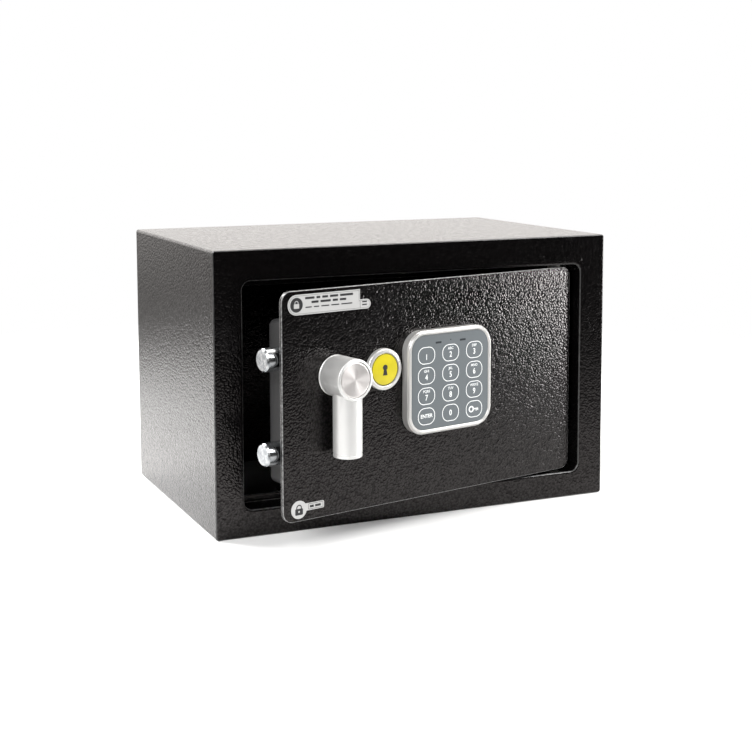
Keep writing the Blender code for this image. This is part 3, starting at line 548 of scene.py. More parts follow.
def silver_plastic():
    """Silver-lacquered moulding."""
    f = Finish("silver_plastic", (0.7, 0.692, 0.675), 0.36, 0.68, Coat_Weight=0.3, Coat_Roughness=0.15)
    flake = f.node("ShaderNodeTexVoronoi", Vector=f.coords, Scale=7000.0)
    f.bump(flake.outputs["Distance"], 0.0015)
    return f.material


def keypad_film():
    """Slate-grey printed film with a very fine matt texture."""
    f = Finish("keypad_film", (0.125, 0.142, 0.152), 0.42, IOR=1.46)
    f.bump(f.noise(4000.0, 1.0), 0.006)
    f.use("Roughness", f.span(f.noise(60.0), 0.3, 0.7, 0.38, 0.46))
    return f.material


def ink(name, colour, roughness):
    """Screen print with a slightly uneven sheen."""
    f = Finish(name, colour, roughness)
    f.use("Roughness", f.span(f.noise(500.0), 0.3, 0.7, roughness - 0.05, roughness + 0.05))
    return f.material


def badge_yellow():
    """Yellow print under a clear domed face."""
    f = Finish("badge_yellow", (0.62, 0.5, 0.008), 0.3, Coat_Weight=1.0, Coat_Roughness=0.04)
    f.use("Base Color", f.ramp(f.noise(110.0, 2.0), (0.3, (0.6, 0.505, 0.008)), (0.7, (0.67, 0.565, 0.011))))
    return f.material


def label_stock():
    """White vinyl with a faint sheen."""
    f = Finish("label_stock", (0.5, 0.5, 0.495), 0.38)
    f.bump(f.noise(700.0, 3.0), 0.01)
    f.use("Roughness", f.span(f.noise(150.0), 0.3, 0.7, 0.32, 0.45))
    return f.material


def felt():
    """Needle-felt carpet: short matted fibres."""
    f = Finish("floor_carpet", (0.02, 0.02, 0.022), 0.95, Sheen_Weight=0.4)
    fibres = f.noise(1800.0, 5.0, 0.7, stretch=(1.0, 0.35, 1.0))
    f.bump(fibres, 0.5)
    f.use("Base Color", f.ramp(fibres, (0.35, (0.008, 0.008, 0.009)), (0.65, (0.05, 0.05, 0.054))))
    return f.material


def plain(name, colour, roughness, grain, depth, metallic=0.0, **inputs):
    """A moulded or lacquered surface with one fine grain."""
    f = Finish(name, colour, roughness, metallic, **inputs)
    f.bump(f.noise(grain, 2.0), depth)
    return f.material


def coil_tape():
    """Amber tape wound over the coil."""
    f = Finish("coil_tape", (0.45, 0.22, 0.03), 0.25, Coat_Weight=0.6)
    laps = f.node("ShaderNodeTexWave", Vector=f.coords, Scale=110.0, Distortion=0.6)
    laps.bands_direction = "Z"
    f.use("Base Color", f.ramp(laps.outputs["Fac"], (0.2, (0.3, 0.13, 0.015)), (0.6, (0.5, 0.26, 0.04))))
    f.bump(laps.outputs["Fac"], 0.03)
    return f.material


def circuit_board():
    """Green solder mask over copper tracks."""
    f = Finish("circuit_board", (0.01, 0.1, 0.03), 0.3, Coat_Weight=0.5)
    tracks = f.node("ShaderNodeTexBrick", Vector=f.coords, Scale=160.0)
    tracks.inputs["Mortar Size"].default_value = 0.03
    green, pale = (0.4, (0.008, 0.085, 0.025)), (0.6, (0.03, 0.19, 0.06))
    f.use("Base Color", f.ramp(tracks.outputs["Fac"], green, pale))
    return f.material


def smoked_lens():
    f = Finish("indicator_lens", (0.05, 0.055, 0.06), 0.12, Coat_Weight=0.6)
    f.use("Roughness", f.span(f.noise(400.0), 0.3, 0.7, 0.1, 0.18))
    return f.material


ENAMEL = enamel()
# Painted highlights: lighter enamel on the door's arrises and on the cabinet's folds and edges
ENAMEL_EDGE_HIGHLIGHT = enamel_with_painted_highlight("enamel_edge_painted_highlight", 0.06, 0.26)
ENAMEL_FOLD_HIGHLIGHT = enamel_with_painted_highlight("enamel_fold_painted_highlight", 0.016, 0.05)
MOULDING = moulding()
SATIN = satin_zinc()
SPUN = spun_zinc()
PLATED = plated_steel()
PRESSED = pressed_steel()
SILVER = silver_plastic()
FILM = keypad_film()
WHITE_INK = ink("print_white", (0.9, 0.92, 0.92), 0.5)
DARK_INK = ink("print_dark", (0.012, 0.012, 0.014), 0.45)
YELLOW = badge_yellow()
LABEL = label_stock()
FELT = felt()
NYLON = plain("nylon", (0.66, 0.64, 0.58), 0.42, 900.0, 0.01, Subsurface_Weight=0.1)
BLACK_PLASTIC = plain("black_plastic", (0.014, 0.014, 0.015), 0.42, 2500.0, 0.015)
TAPE = coil_tape()
BOARD = circuit_board()
RED = plain("red_button", (0.5, 0.012, 0.012), 0.28, 1200.0, 0.01)
LENS = smoked_lens()
JACKET = plain("cell_jacket", (0.02, 0.035, 0.13), 0.28, 300.0, 0.01, 0.35, Coat_Weight=0.6)
JACKET_END = plain("cell_jacket_end", (0.6, 0.35, 0.08), 0.28, 300.0, 0.01, 0.35, Coat_Weight=0.6)
LEAD = plain("lead_insulation", (0.02, 0.02, 0.022), 0.4, 600.0, 0.02)


# ------------ cabinet


def cabinet_holes(jamb_end):
    """Cutters for the bolts, the hinge pins, the hinge brackets and the anchor bolts."""
    cutters = []
    for z in BOLT_Z:
        place = at(-OPEN_W / 2, FACE_Y + BOLT_DEEP, z)
        cutters.append(rod_cutter(BOLT_R + 0.6, 12, place @ turned(90, "Y")))
    for side in (-1, 1):
        jamb_z = OPEN_Z + side * OPEN_H / 2
        cutters.append(rod_cutter(3.3, 8, on_hinge(jamb_z)))
        low_z, high_z = sorted((jamb_z - side * 0.8, jamb_z - side * (STOP_TALL + 2)))
        low = (HINGE.x / MM - 14, jamb_end - 0.3, low_z)
        high = (OPEN_W / 2 - STOP_SIDE - 0.5, jamb_end + SHEET + 1, high_z)
        cutters.append(box("cutter", low, high))
        cutters.append(rod_cutter(5.0, 6, at(side * 70, 0, SHEET / 2)))
    return cutters


def make_cabinet_skin():
    """The wrap and the front frame as one welded and enamelled skin."""

    def outer(point):
        inset, y = point
        return (BODY_W - 2 * inset, BODY_H - 2 * inset, max(BODY_R - inset, 0.25), 0, BODY_H / 2, y)

    def opening(point):
        out, y = point
        return (OPEN_W + 2 * out, OPEN_H + 2 * out, OPEN_R + out, 0, OPEN_Z, y)

    def stop(point):
        share, y = point
        narrow, low = 2 * STOP_SIDE * share, 2 * STOP_TALL * share
        return (OPEN_W - narrow, OPEN_H - low, OPEN_R - 4.5 * share, 0, OPEN_Z, y)

    back, jamb_end = BODY_D / 2, FRONT_Y + JAMB_DEPTH
    wrap = fillet([(SHEET, back), (0, back, 0.4), (0, FRONT_Y, FACE_EDGE_R), (10, FRONT_Y)])
    rings = [outer(p) for p in wrap[:-1]]
    mouth = fillet([(20, FRONT_Y), (0, FRONT_Y, BEND_R), (0, jamb_end, 1.0), (-2.4, jamb_end)], 6)
    rings += [opening(p) for p in mouth[1:-1]]
    lip = fillet([(0.5, jamb_end), (1, jamb_end, 0.5), (1, jamb_end + SHEET, 0.5), (0.3, jamb_end + SHEET)])
    rings += [stop(p) for p in lip]
    rings += [opening((SHEET, jamb_end + SHEET)), opening((SHEET, FRONT_Y + BEND_R))]
    rings += [opening((BEND_R + 0.5, FRONT_Y + SHEET)), outer((SHEET, FRONT_Y + SHEET))]
    skin = carve(loft("cabinet_skin", rings, steps=10), *cabinet_holes(jamb_end))
    piece(skin, "cabinet", ENAMEL, "textured_black_enamel", "body_shell", "front_frame")
    # Painted highlight: lighter enamel on the fold round the mouth and on the rounded outer edges
    paint_slope_highlight(skin, ENAMEL_FOLD_HIGHLIGHT, 0.4, 0.92)


def make_back_panel():
    panel = round_rect(BODY_W - 2 * SHEET - 0.3, BODY_H - 2 * SHEET - 0.3, 1.0, 3)
    holes = [circle(5.0, side * 90, 0, 40) for side in (-1, 1)]
    place = at(0, (BODY_D - SHEET) / 2, BODY_H / 2)
    sheet = flat("back_sheet", [panel, *holes], SHEET, place @ turned(90, "X"), 0.35)
    piece(sheet, "cabinet", ENAMEL, "textured_black_enamel", "back_panel")


def make_strike():
    """The plate behind the left jamb that takes the thrown bolts."""
    tall, deep = BOLT_Z[1] - BOLT_Z[0] + 44, 34.0
    centre_y = FRONT_Y + 4 + deep / 2
    holes = [circle(BOLT_R + 0.6, FACE_Y + BOLT_DEEP - centre_y, z - OPEN_Z, 48) for z in BOLT_Z]
    x = -OPEN_W / 2 - SHEET - 0.75
    place = at(x, centre_y, OPEN_Z)
    place = place @ turned(90, "Z") @ turned(90, "X")
    strike = flat("bolt_strike", [round_rect(deep, tall, 2.0, 5), *holes], 1.5, place, 0.3)
    piece(strike, "cabinet", ENAMEL, "textured_black_enamel")


def make_floor_mat():
    holes = [circle(6.0, side * 70, -10.0, 32) for side in (-1, 1)]
    place = at(0, 10.0, SHEET + 1.15)
    mat = flat("carpet_mat", [round_rect(300.0, 166.0, 3.0, 4), *holes], 2.0, place, 0.7, 3)
    piece(mat, "cabinet", FELT, "floor_carpet", "floor_mat")


# ------------ door


def make_door_skin():
    """The door plate, with a painted highlight in lighter enamel on its rounded arrises."""
    profile = [(4, 0), (0, 0, DOOR_EDGE_R), (0, DOOR_T, DOOR_EDGE_R), (4, DOOR_T)]
    rings = [
        (DOOR_W - 2 * inset, DOOR_H - 2 * inset, DOOR_R - inset, DOOR_W / 2, OPEN_Z, deep)
        for inset, deep in fillet(profile, 5)
    ]
    skin = loft("door_skin", rings, DOOR, closed=False)
    spots = ((4.6, HANDLE_U, HANDLE_Z), (BARREL_R + 0.25, LOCK_U, LOCK_Z), (6.0, KEYPAD_U, KEYPAD_Z))
    skin = carve(skin, *(rod_cutter(radius, 12, on_face(u, z)) for radius, u, z in spots))
    piece(skin, "door", ENAMEL, "textured_black_enamel", "door_plate")
    # Painted highlight: lighter enamel on the door's rounded arrises, all the way round
    paint_slope_highlight(skin, ENAMEL_EDGE_HIGHLIGHT, 0.05, 0.95)


def make_hinges():
    shank = 13.8
    for label, side in (("bottom", -1), ("top", 1)):
        jamb_z = OPEN_Z + side * OPEN_H / 2
        ear_z = jamb_z - side * 8.5
        profile = [(0, shank), (3.0, shank, 0.6), (3.0, 0, 0.1), (3.9, 0, 0.3), (3.9, -2.4, 0.7), (0, -2.4)]
        turn = Matrix.Identity(4) if side > 0 else turned(180, "X")
        place = on_hinge(ear_z - side * 0.3) @ turn
        pin = lathe(f"pivot_pin_{label}", profile, place, 64)
        piece(pin, "door", PLATED, "plated_steel", f"hinge_pin_{label}")
        profile = [(3.3, 0), (3.3, 2.45, 0.2), (5.0, 2.45, 0.4)]
        profile += [(5.0, -2.45, 0.4), (3.3, -2.45, 0.2), (3.3, 0)]
        place = on_hinge(jamb_z - side * 2.75)
        bush = weld(lathe(f"pivot_spacer_{label}", profile, place, 64))
        piece(bush, "cabinet", NYLON, "nylon", f"hinge_bush_{label}")


def make_inner_cover():
    """Tray over the mechanism, with rounded edges, bolt holes, a battery bay and screw holes."""
    centre_u, width = (COVER_U0 + COVER_U1) / 2, COVER_U1 - COVER_U0

    def ring(point):
        inset, depth = point
        radius = max(COVER_R - inset, 0.6)
        return (width - 2 * inset, COVER_H - 2 * inset, radius, centre_u, OPEN_Z, depth)

    wall = COVER_WALL
    inside = COVER_DEEP - wall
    path = [(wall + 6, inside), (wall, inside, 3.0), (wall, DOOR_T + 0.3, 0.3), (0, DOOR_T + 0.3, 0.3)]
    path += [(0, COVER_DEEP, COVER_R), (COVER_R + 3, COVER_DEEP)]
    tray = loft("mechanism_cover", [ring(p) for p in fillet(path, 7)], DOOR, steps=8, closed=False)
    cutters = []
    for z in BOLT_Z:
        place = DOOR @ at(COVER_U0 + 1, BOLT_DEEP, z)
        cutters.append(rod_cutter(BOLT_R + 0.5, 8, place @ turned(90, "Y")))
    u0, u1, z0, z1 = BAY
    cutters.append(box("cutter", (u0, COVER_DEEP - 6, z0), (u1, COVER_DEEP + 6, z1), DOOR))
    cutters.append(rod_cutter(3.3, 12, on_back(RESET_U, RESET_Z, COVER_DEEP)))
    for u, z in screw_places():
        cutters.append(rod_cutter(1.8, 12, on_back(u, z, COVER_DEEP)))
    tray = carve(tray, *cutters)
    piece(tray, "door", MOULDING, "dark_grey_moulding", "inner_cover")


def screw_places():
    low, high = OPEN_Z - COVER_H / 2 + 10, OPEN_Z + COVER_H / 2 - 10
    return ((20.0, low), (COVER_U1 - 12, low), (20.0, high), (COVER_U1 - 12, high))


def make_screws():
    for i, (u, z) in enumerate(screw_places()):
        length = COVER_DEEP - DOOR_T - 1.0
        profile = [(0, 1.9), (3.2, 1.6, 0.9), (3.2, 0, 0.15), (1.5, 0, 0.2)]
        profile += [(1.5, -length + 1.5), (0, -length)]
        place = on_back(u, z, COVER_DEEP + 0.3)
        screw = lathe(f"pan_screw_{i + 1}", profile, place, 40)
        slots = [box("cutter", (-2.0, -0.35, 0.7), (2.0, 0.35, 3.0), place @ turned(a, "Z")) for a in (0, 90)]
        screw = carve(screw, *slots)
        piece(screw, "door", PLATED, "plated_steel", f"cover_screw_{i + 1}")


def make_bolts():
    length = BOLT_END_U - BOLT_TIP_U
    for label, z in zip(("lower", "upper"), BOLT_Z):
        profile = [(0, length - 0.15), (5.2, length - 0.1, 0.3), (BOLT_R - 1.1, length, 0.25)]
        profile += [(BOLT_R, length - 1.1, 0.5), (BOLT_R, 0, 0.4), (3.0, 0, 0.1), (3.0, -4.0, 0.3), (0, -4.0)]
        place = DOOR @ at(BOLT_END_U, BOLT_DEEP, z)
        place = place @ turned(-90, "Y")
        bolt = lathe(f"locking_bolt_{label}", profile, place)
        piece(bolt, "bolt_work", PLATED, "plated_steel", f"bolt_{label}")


def make_handle():
    top = HUB_H
    seat = DISC_R + 0.3
    profile = [(0, top - 1.8), (seat, top - 1.8, 0.1), (seat, top, 0.2), (seat + 0.5, top, 0.15)]
    profile += [(seat + 0.9, top - 0.3, 0.2), (HUB_R, top - 0.4, 0.7), (HUB_R, 2.2, 0.3)]
    profile += [(HUB_R - 0.4, 1.9, 0.2), (HUB_R - 0.4, 1.4, 0.2), (HUB_R, 1.1, 0.3), (HUB_R, 0.4, 0.4)]
    profile += [(4.3, 0.4), (4.3, top - 6.5), (0, top - 6.5)]
    place = on_face(HANDLE_U, HANDLE_Z)
    piece(lathe("hub", profile, place, 128), "handle", SATIN, "satin_zinc", "handle_hub")
    profile = [(0, top - 0.75), (DISC_R - 0.9, top - 0.45, 0.3), (DISC_R, top - 0.8, 0.25)]
    profile += [(DISC_R, top - 1.5), (0, top - 1.5)]
    piece(lathe("spun_disc", profile, place, 128), "handle", SPUN, "satin_zinc", "handle_disc")
    end = -LEVER_REACH
    profile = [(0, -4.0), (LEVER_R, -4.0, 0.1), (LEVER_R, end + 3.1, 0.2), (LEVER_R - 0.6, end + 2.9, 0.15)]
    profile += [(LEVER_R - 0.6, end + 2.3, 0.15), (LEVER_R, end + 2.1, 0.2), (LEVER_R, end, 1.1), (0, end)]
    axis = DOOR @ at(HANDLE_U, -LEVER_AXIS_H, HANDLE_Z)
    lever = carve(lathe("lever", profile, axis), rod_cutter(HUB_R - 0.1, 60, place, 128))
    piece(lever, "handle", SATIN, "satin_zinc", "handle_lever")


def keyhole(scale=1.0, cx=0.0, cy=0.0):
    """Outline of a plain keyhole."""
    head = arc(cx, cy + 1.5 * scale, 2.1 * scale, -55, 235, 24)
    return head + [(cx - 2.0 * scale, cy - 4.2 * scale), (cx + 2.0 * scale, cy - 4.2 * scale)]


def make_lock():
    face = on_face(LOCK_U, LOCK_Z)
    back = BARREL_BACK
    profile = [(6.3, 0), (6.3, 1.0, 0.2), (BARREL_R, 1.0, 0.5)]
    profile += [(BARREL_R, -back, 0.4), (6.3, -back, 0.2), (6.3, 0)]
    piece(weld(lathe("key_barrel", profile, face, 72)), "door", PLATED, "plated_steel", "lock_barrel")
    profile = [(0, 0.7), (6.0, 0.7, 0.4), (6.0, -back - 0.2, 0.3), (0, -back - 0.2)]
    plug = lathe("key_plug", profile, face, 64)
    way = box("cutter", (-1.0, -4.2, -16.0), (1.0, 3.4, 3.0), face)
    ward = box("cutter", (0.4, -1.2, -16.0), (1.7, 0.2, 3.0), face)
    plug = carve(plug, way, ward)
    piece(plug, "lock_plug", SATIN, "satin_zinc", "lock_plug")
    inner = BADGE_DISC_R + 0.25
    profile = [(0, 2.8), (inner, 2.8, 0.05), (inner, BADGE_H - 0.25, 0.15), (inner + 0.6, BADGE_H, 0.2)]
    profile += [(BADGE_R - 0.2, BADGE_H - 0.35, 1.0), (BADGE_R, 0.3, 0.2), (BARREL_R + 1.2, 0.3)]
    profile += [(BARREL_R + 1.2, 1.5), (0, 1.5)]
    piece(lathe("badge_ring", profile, face, 128), "lock_cover", SILVER, "silver_plastic", "badge_cover")
    profile = [(0, BADGE_H - 0.15), (BADGE_DISC_R - 0.6, BADGE_H - 0.45, 0.3)]
    profile += [(BADGE_DISC_R, 3.2, 0.1), (BADGE_DISC_R, 3.0), (0, 3.0)]
    disc = lathe("badge_face", profile, face, 96)
    piece(disc, "lock_cover", YELLOW, "badge_yellow", "badge_disc")
    mark = flat("badge_keyhole", [keyhole(0.95)], 0.03, on_face(LOCK_U, LOCK_Z, BADGE_H - 0.13))
    piece(mark, "lock_cover", DARK_INK, "badge_yellow", smooth=0)
    edge = circle(BADGE_DISC_R - 0.25, steps=96), circle(BADGE_DISC_R - 0.6, steps=96)
    border = ribbon("badge_border", *edge, on_face(LOCK_U, LOCK_Z, BADGE_H - 0.38))
    piece(border, "lock_cover", DARK_INK, "badge_yellow", smooth=0)


# ------------ keypad


def make_keypad_housing():
    def ring(point):
        inset, height = point
        return (KEYPAD_W - 2 * inset, KEYPAD_H - 2 * inset, KEYPAD_R - inset, KEYPAD_U, KEYPAD_Z, -height)

    top = KEYPAD_DEEP
    path = [(RIM, 0.3), (0, 0.3, 0.3), (0, top - 1.6, 0.25), (0.45, top - 1.5, 0.2), (0.6, top - 0.6, 0.35)]
    path += [(1.2, top, 0.4), (RIM - 0.9, top, 0.35), (RIM, top - RIM_LIP - 0.2, 0.2), (RIM, 0.3)]
    housing = weld(loft("keypad_bezel", [ring(p) for p in fillet(path, 4)], DOOR, steps=14))
    piece(housing, "door", SILVER, "silver_plastic", "keypad_housing")


def key_spots():
    for row, keys in enumerate(KEYS):
        for column, key in enumerate(keys):
            yield key, (column - 1) * KEY_PITCH_X, KEYS_Z + (1.5 - row) * KEY_PITCH_Z


def make_keypad_film():
    top = KEYPAD_DEEP - RIM_LIP
    inner_w, inner_h, inner_r = KEYPAD_W - 2 * RIM, KEYPAD_H - 2 * RIM, KEYPAD_R - RIM
    loops = [round_rect(inner_w - 0.1, inner_h - 0.1, inner_r - 0.05, 14)]
    for _, x, z in key_spots():
        loops.append(round_rect(KEY_W + 0.08, KEY_H + 0.08, KEY_R + 0.04, 10, x, z - KEYPAD_Z))
    film = flat("keypad_film", loops, 1.4, on_face(KEYPAD_U, KEYPAD_Z, top - 0.7))
    piece(film, "door", FILM, "keypad_grey", "keypad_fascia")
    for label, side in (("left", -1), ("right", 1)):
        place = on_face(KEYPAD_U + side * 11.0, 132.0, top)
        window = flat(f"indicator_window_{label}", [round_rect(5.2, 1.4, 0.35, 4)], 0.12, place)
        piece(window, "door", LENS, "indicator_lens", f"indicator_{label}")
    dot = flat("keypad_dot", [circle(0.45, steps=20)], 0.06, on_face(KEYPAD_U, 133.1, top + 0.02))
    piece(dot, "door", LENS, "indicator_lens")


def key_sign(place):
    """A small key lying on its side."""
    bow = flat("sign", [circle(2.35, -2.6, 0, 40), circle(1.35, -2.6, 0, 40)], 0.03, place)
    shaft = [(-0.4, -0.42), (1.6, -0.42), (1.6, -1.6), (2.35, -1.6), (2.35, -0.42), (3.1, -0.42)]
    shaft += [(3.1, -1.3), (3.85, -1.3), (3.85, 0.42), (-0.4, 0.42)]
    return [bow, flat("sign", [shaft], 0.03, place)]


def make_keys():
    top = KEYPAD_DEEP - RIM_LIP
    back = 3.6
    for (label, sign, letters), x, z in key_spots():
        body = f"button_{label}"
        thick = top + 0.05 - back
        place = on_face(KEYPAD_U + x, z, back + thick / 2)
        key = flat(f"key_{label}", [round_rect(KEY_W, KEY_H, KEY_R, 10)], thick, place, 0.08, 1)
        piece(key, body, FILM, "keypad_grey", body)
        face = on_face(KEYPAD_U + x, z, top + 0.07)
        rim = (round_rect(KEY_W - inset, KEY_H - inset, KEY_R - inset / 2, 12) for inset in (0.05, 1.15))
        parts = [ribbon("sign", *rim, face)]
        if label == "program":
            parts += key_sign(face)
        elif label == "enter":
            parts.append(text("sign", sign, 3.7, 0, 0.1, face, 0.09, 0.95))
        else:
            low = -1.3 if letters or sign == "1" else -0.2
            parts.append(text("sign", sign, 5.6, 0, low, face, 0.1, 0.85))
        if letters:
            parts.append(text("sign", letters, 2.6, 0, 3.2, face, 0.04, 1.0))
        legend = merged(f"legend_{label}", parts)
        piece(legend, body, WHITE_INK, "keypad_grey", smooth=0)


# ------------ labels


def word_bars(rows, place, name):
    """Rows of plain bars that stand for small print: (y, height, [(x0, x1), ...])."""
    bars = []
    for y, height, spans in rows:
        for x0, x1 in spans:
            outline = round_rect(x1 - x0, height, 0.2, 2, (x0 + x1) / 2, y)
            bars.append(flat("bar", [outline], 0.03, place))
    return merged(name, bars)


def spread(x0, widths, gap):
    spans = []
    for width in widths:
        spans.append((x0, x0 + width))
        x0 += width + gap
    return spans


def notice_outline(inset):
    """A strip with a round left end and a low peel tab at its right end."""
    z0, z1 = NOTICE_Z
    end_r, tab_r = (z1 - z0) / 2, 3.3
    outline = arc(NOTICE_U[0] + end_r, z0 + end_r, end_r - inset, 90, 270, 24)
    outline += arc(NOTICE_U[2] - tab_r, z0 + tab_r, tab_r - inset, -90, 90, 16)
    return outline + [(NOTICE_U[1] - inset, z0 + 2 * tab_r - inset), (NOTICE_U[1] - inset, z1 - inset)]


def make_notice():
    sticker = flat("notice_sticker", [notice_outline(0)], 0.22, on_face(0, 0, 0.14))
    piece(sticker, "door", LABEL, "label_white", "notice_label")
    print_at = on_face(0, 0, 0.27)
    middle = sum(NOTICE_Z) / 2
    centre = NOTICE_U[0] + (NOTICE_Z[1] - NOTICE_Z[0]) / 2
    dark = flat("disc", [circle(4.9, centre, middle, 48), *padlock(0.66, centre, middle)], 0.03, print_at)
    border = ribbon("border", notice_outline(0.75), notice_outline(0.93), print_at)
    rows = [
        (170.9, 1.5, spread(18.4, (7.4, 3.0, 4.6, 6.6, 10.6), 1.6)),
        (168.0, 1.5, spread(23.4, (5.6, 8.2, 4.2, 5.2), 1.6)),
        (164.8, 0.8, spread(18.6, (5.0, 4.2, 6.4, 6.4, 9.0), 1.7)),
        (164.9, 0.9, spread(64.6, (3.9,), 1.0)),
        (162.9, 0.9, spread(64.6, (3.9,), 1.0)),
    ]
    slit = round_rect(0.22, 5.1, 0.1, 2, NOTICE_U[1] + 0.1, NOTICE_Z[0] + 3.3)
    slit = flat("slit", [slit], 0.03, print_at)
    bars = word_bars(rows, print_at, "bars")
    piece(merged("notice_print", [dark, border, slit, bars]), "door", DARK_INK, "label_white", smooth=0)


def make_corner_mark():
    (cu, cz), radius = MARK_CENTRE, MARK_R
    tag_u, tag_z0, tag_z1 = MARK_TAG
    low = math.degrees(math.asin((tag_z0 - cz) / radius))
    high = math.degrees(math.asin((tag_z1 - cz) / radius))
    outline = arc(cu, cz, radius, high, 360 + low, 48)
    outline += arc(tag_u - 1, tag_z0 + 1, 1, -90, 0, 5) + arc(tag_u - 1, tag_z1 - 1, 1, 0, 90, 5)
    sticker = flat("corner_sticker", [outline], 0.22, on_face(0, 0, 0.14))
    piece(sticker, "door", LABEL, "label_white", "corner_label")
    print_at = on_face(0, 0, 0.27)
    body, eye, shackle = padlock_parts(0.95, cu, cz - 0.3)
    lock = [flat("lock", [body, eye], 0.03, print_at), flat("shackle", [shackle], 0.03, print_at)]
    middle = (tag_z0 + tag_z1) / 2
    frame_lines = (round_rect(12 - cut, 3.9 - cut, 0.7 - cut / 2, 4, 25.6, middle) for cut in (0, 0.6))
    line = ribbon("line", *frame_lines, print_at)
    bars = []
    for u, width in ((22.5, 3.2), (27.4, 4.6)):
        bars.append(flat("bar", [round_rect(width, 1.6, 0.3, 3, u, middle)], 0.03, print_at))
    piece(merged("corner_print", [*lock, line, *bars]), "door", DARK_INK, "label_white", smooth=0)


def padlock_parts(scale, cx, cy):
    """Body, keyhole and shackle outlines of a plain padlock."""
    body = round_rect(6.4 * scale, 4.6 * scale, 0.7 * scale, 4, cx, cy - 1.2 * scale)
    eye = circle(0.75 * scale, cx, cy - 1.1 * scale, 20)
    outer = arc(cx, cy + 1.7 * scale, 2.3 * scale, 0, 180, 16)
    inner = arc(cx, cy + 1.7 * scale, 1.5 * scale, 180, 0, 16)
    foot = cy + 0.9 * scale
    shackle = [(cx + 2.3 * scale, foot), *outer, (cx - 2.3 * scale, foot)]
    shackle += [(cx - 1.5 * scale, foot), *inner, (cx + 1.5 * scale, foot)]
    return body, eye, shackle


def padlock(scale, cx, cy):
    body, _, shackle = padlock_parts(scale, cx, cy)
    shackle = [(x, y + 0.25 * scale) for x, y in shackle]
    return [body, shackle]


# ------------ behind the door


def make_battery_lid():
    u0, u1, z0, z1 = BAY
    place = on_back((u0 + u1) / 2, (z0 + z1) / 2, COVER_DEEP - 0.85)
    width, height = u1 - u0 - 0.5, z1 - z0 - 0.5
    lid = flat("cell_lid", [round_rect(width, height, 1.0, 4)], 1.7, place, 0.3)
    grips = [box("rib", (-14, -24 + 3 * i, 0.5), (14, -22.8 + 3 * i, 1.15), place) for i in range(4)]
    arrow = flat("arrow", [[(-4, -9), (4, -9), (0, -14)]], 0.4, place @ Matrix.Translation((0, 0, 0.95 * MM)))
    for rib in grips:
        soften(rib, 0.25)
    lid = merged("cell_lid", [baked(o) for o in (lid, *grips, arrow)])
    piece(lid, "battery_lid", MOULDING, "dark_grey_moulding", "battery_lid")


def make_cells():
    u0, u1, z0, z1 = BAY
    mid_u, mid_z = (u0 + u1) / 2, (z0 + z1) / 2
    radius, half = 7.0, 24.5
    for i in range(4):
        place = DOOR @ at(mid_u, 21.0, mid_z + (i - 1.5) * 14.8)
        place = place @ turned(90 if i % 2 else -90, "Y")
        profile = [(0, half + 1.2), (2.7, half + 1.2, 0.4), (2.7, half, 0.1), (6.4, half, 0.3)]
        profile += [(6.4, half - 1), (0, half - 1)]
        cap = lathe(f"cell_cap_{i + 1}", profile, place, 48)
        piece(cap, "door", PLATED, "plated_steel")
        profile = [(0, half - 0.2), (radius, half - 0.2, 0.6), (radius, half - 12), (0, half - 12)]
        band = lathe(f"cell_band_{i + 1}", profile, place, 64)
        piece(band, "door", JACKET_END, "cell_jacket")
        profile = [(0, half - 12.02), (radius, half - 12.02), (radius, -half, 0.6), (0, -half)]
        jacket = lathe(f"cell_{i + 1}", profile, place, 64)
        piece(jacket, "door", JACKET, "cell_jacket", f"battery_{i + 1}")


def make_reset_button():
    profile = [(0, 0.8), (1.6, 0.95, 0.4), (2.9, 0.9, 0.5), (2.9, -6.0, 0.3), (0, -6.0)]
    button = lathe("code_button", profile, on_back(RESET_U, RESET_Z, COVER_DEEP), 48)
    piece(button, "reset_button", RED, "red_button", "reset_button")


def make_plunger():
    clip = CLIP_Z
    profile = [(0, 96.3), (3.0, 96.3, 0.6), (3.0, clip + 1, 0.1), (5.5, clip + 1, 0.2), (5.5, clip, 0.2)]
    profile += [(3.0, clip, 0.1), (3.0, 61, 0.3), (0, 61)]
    place = DOOR @ at(SOLENOID_U, SOLENOID_DEEP, 0)
    plunger = lathe("plunger_rod", profile, place, 56)
    piece(plunger, "plunger", PLATED, "plated_steel", "solenoid_plunger")


def make_plunger_spring():
    """Stretches between the solenoid and the plunger's clip."""
    turns, per_turn, thick, radius = 4.5, 28, 0.4, 4.1
    low, high = SOLENOID_TOP + 0.3 + thick, CLIP_Z - 0.3 - thick
    count = int(turns * per_turn)
    points = []
    for i in range(count + 1):
        angle = 2 * math.pi * i / per_turn
        z = low + (high - low) * i / count
        points.append(Vector((radius * math.cos(angle), radius * math.sin(angle), z)) * MM)
    place = DOOR @ at(SOLENOID_U, SOLENOID_DEEP, 0)
    spring = weld(baked(wire("return_spring", points, thick, 3, place)))
    spring.data.materials.append(PLATED)
    even_shading(spring, 60)
    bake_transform(spring)
    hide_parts("plunger_spring")


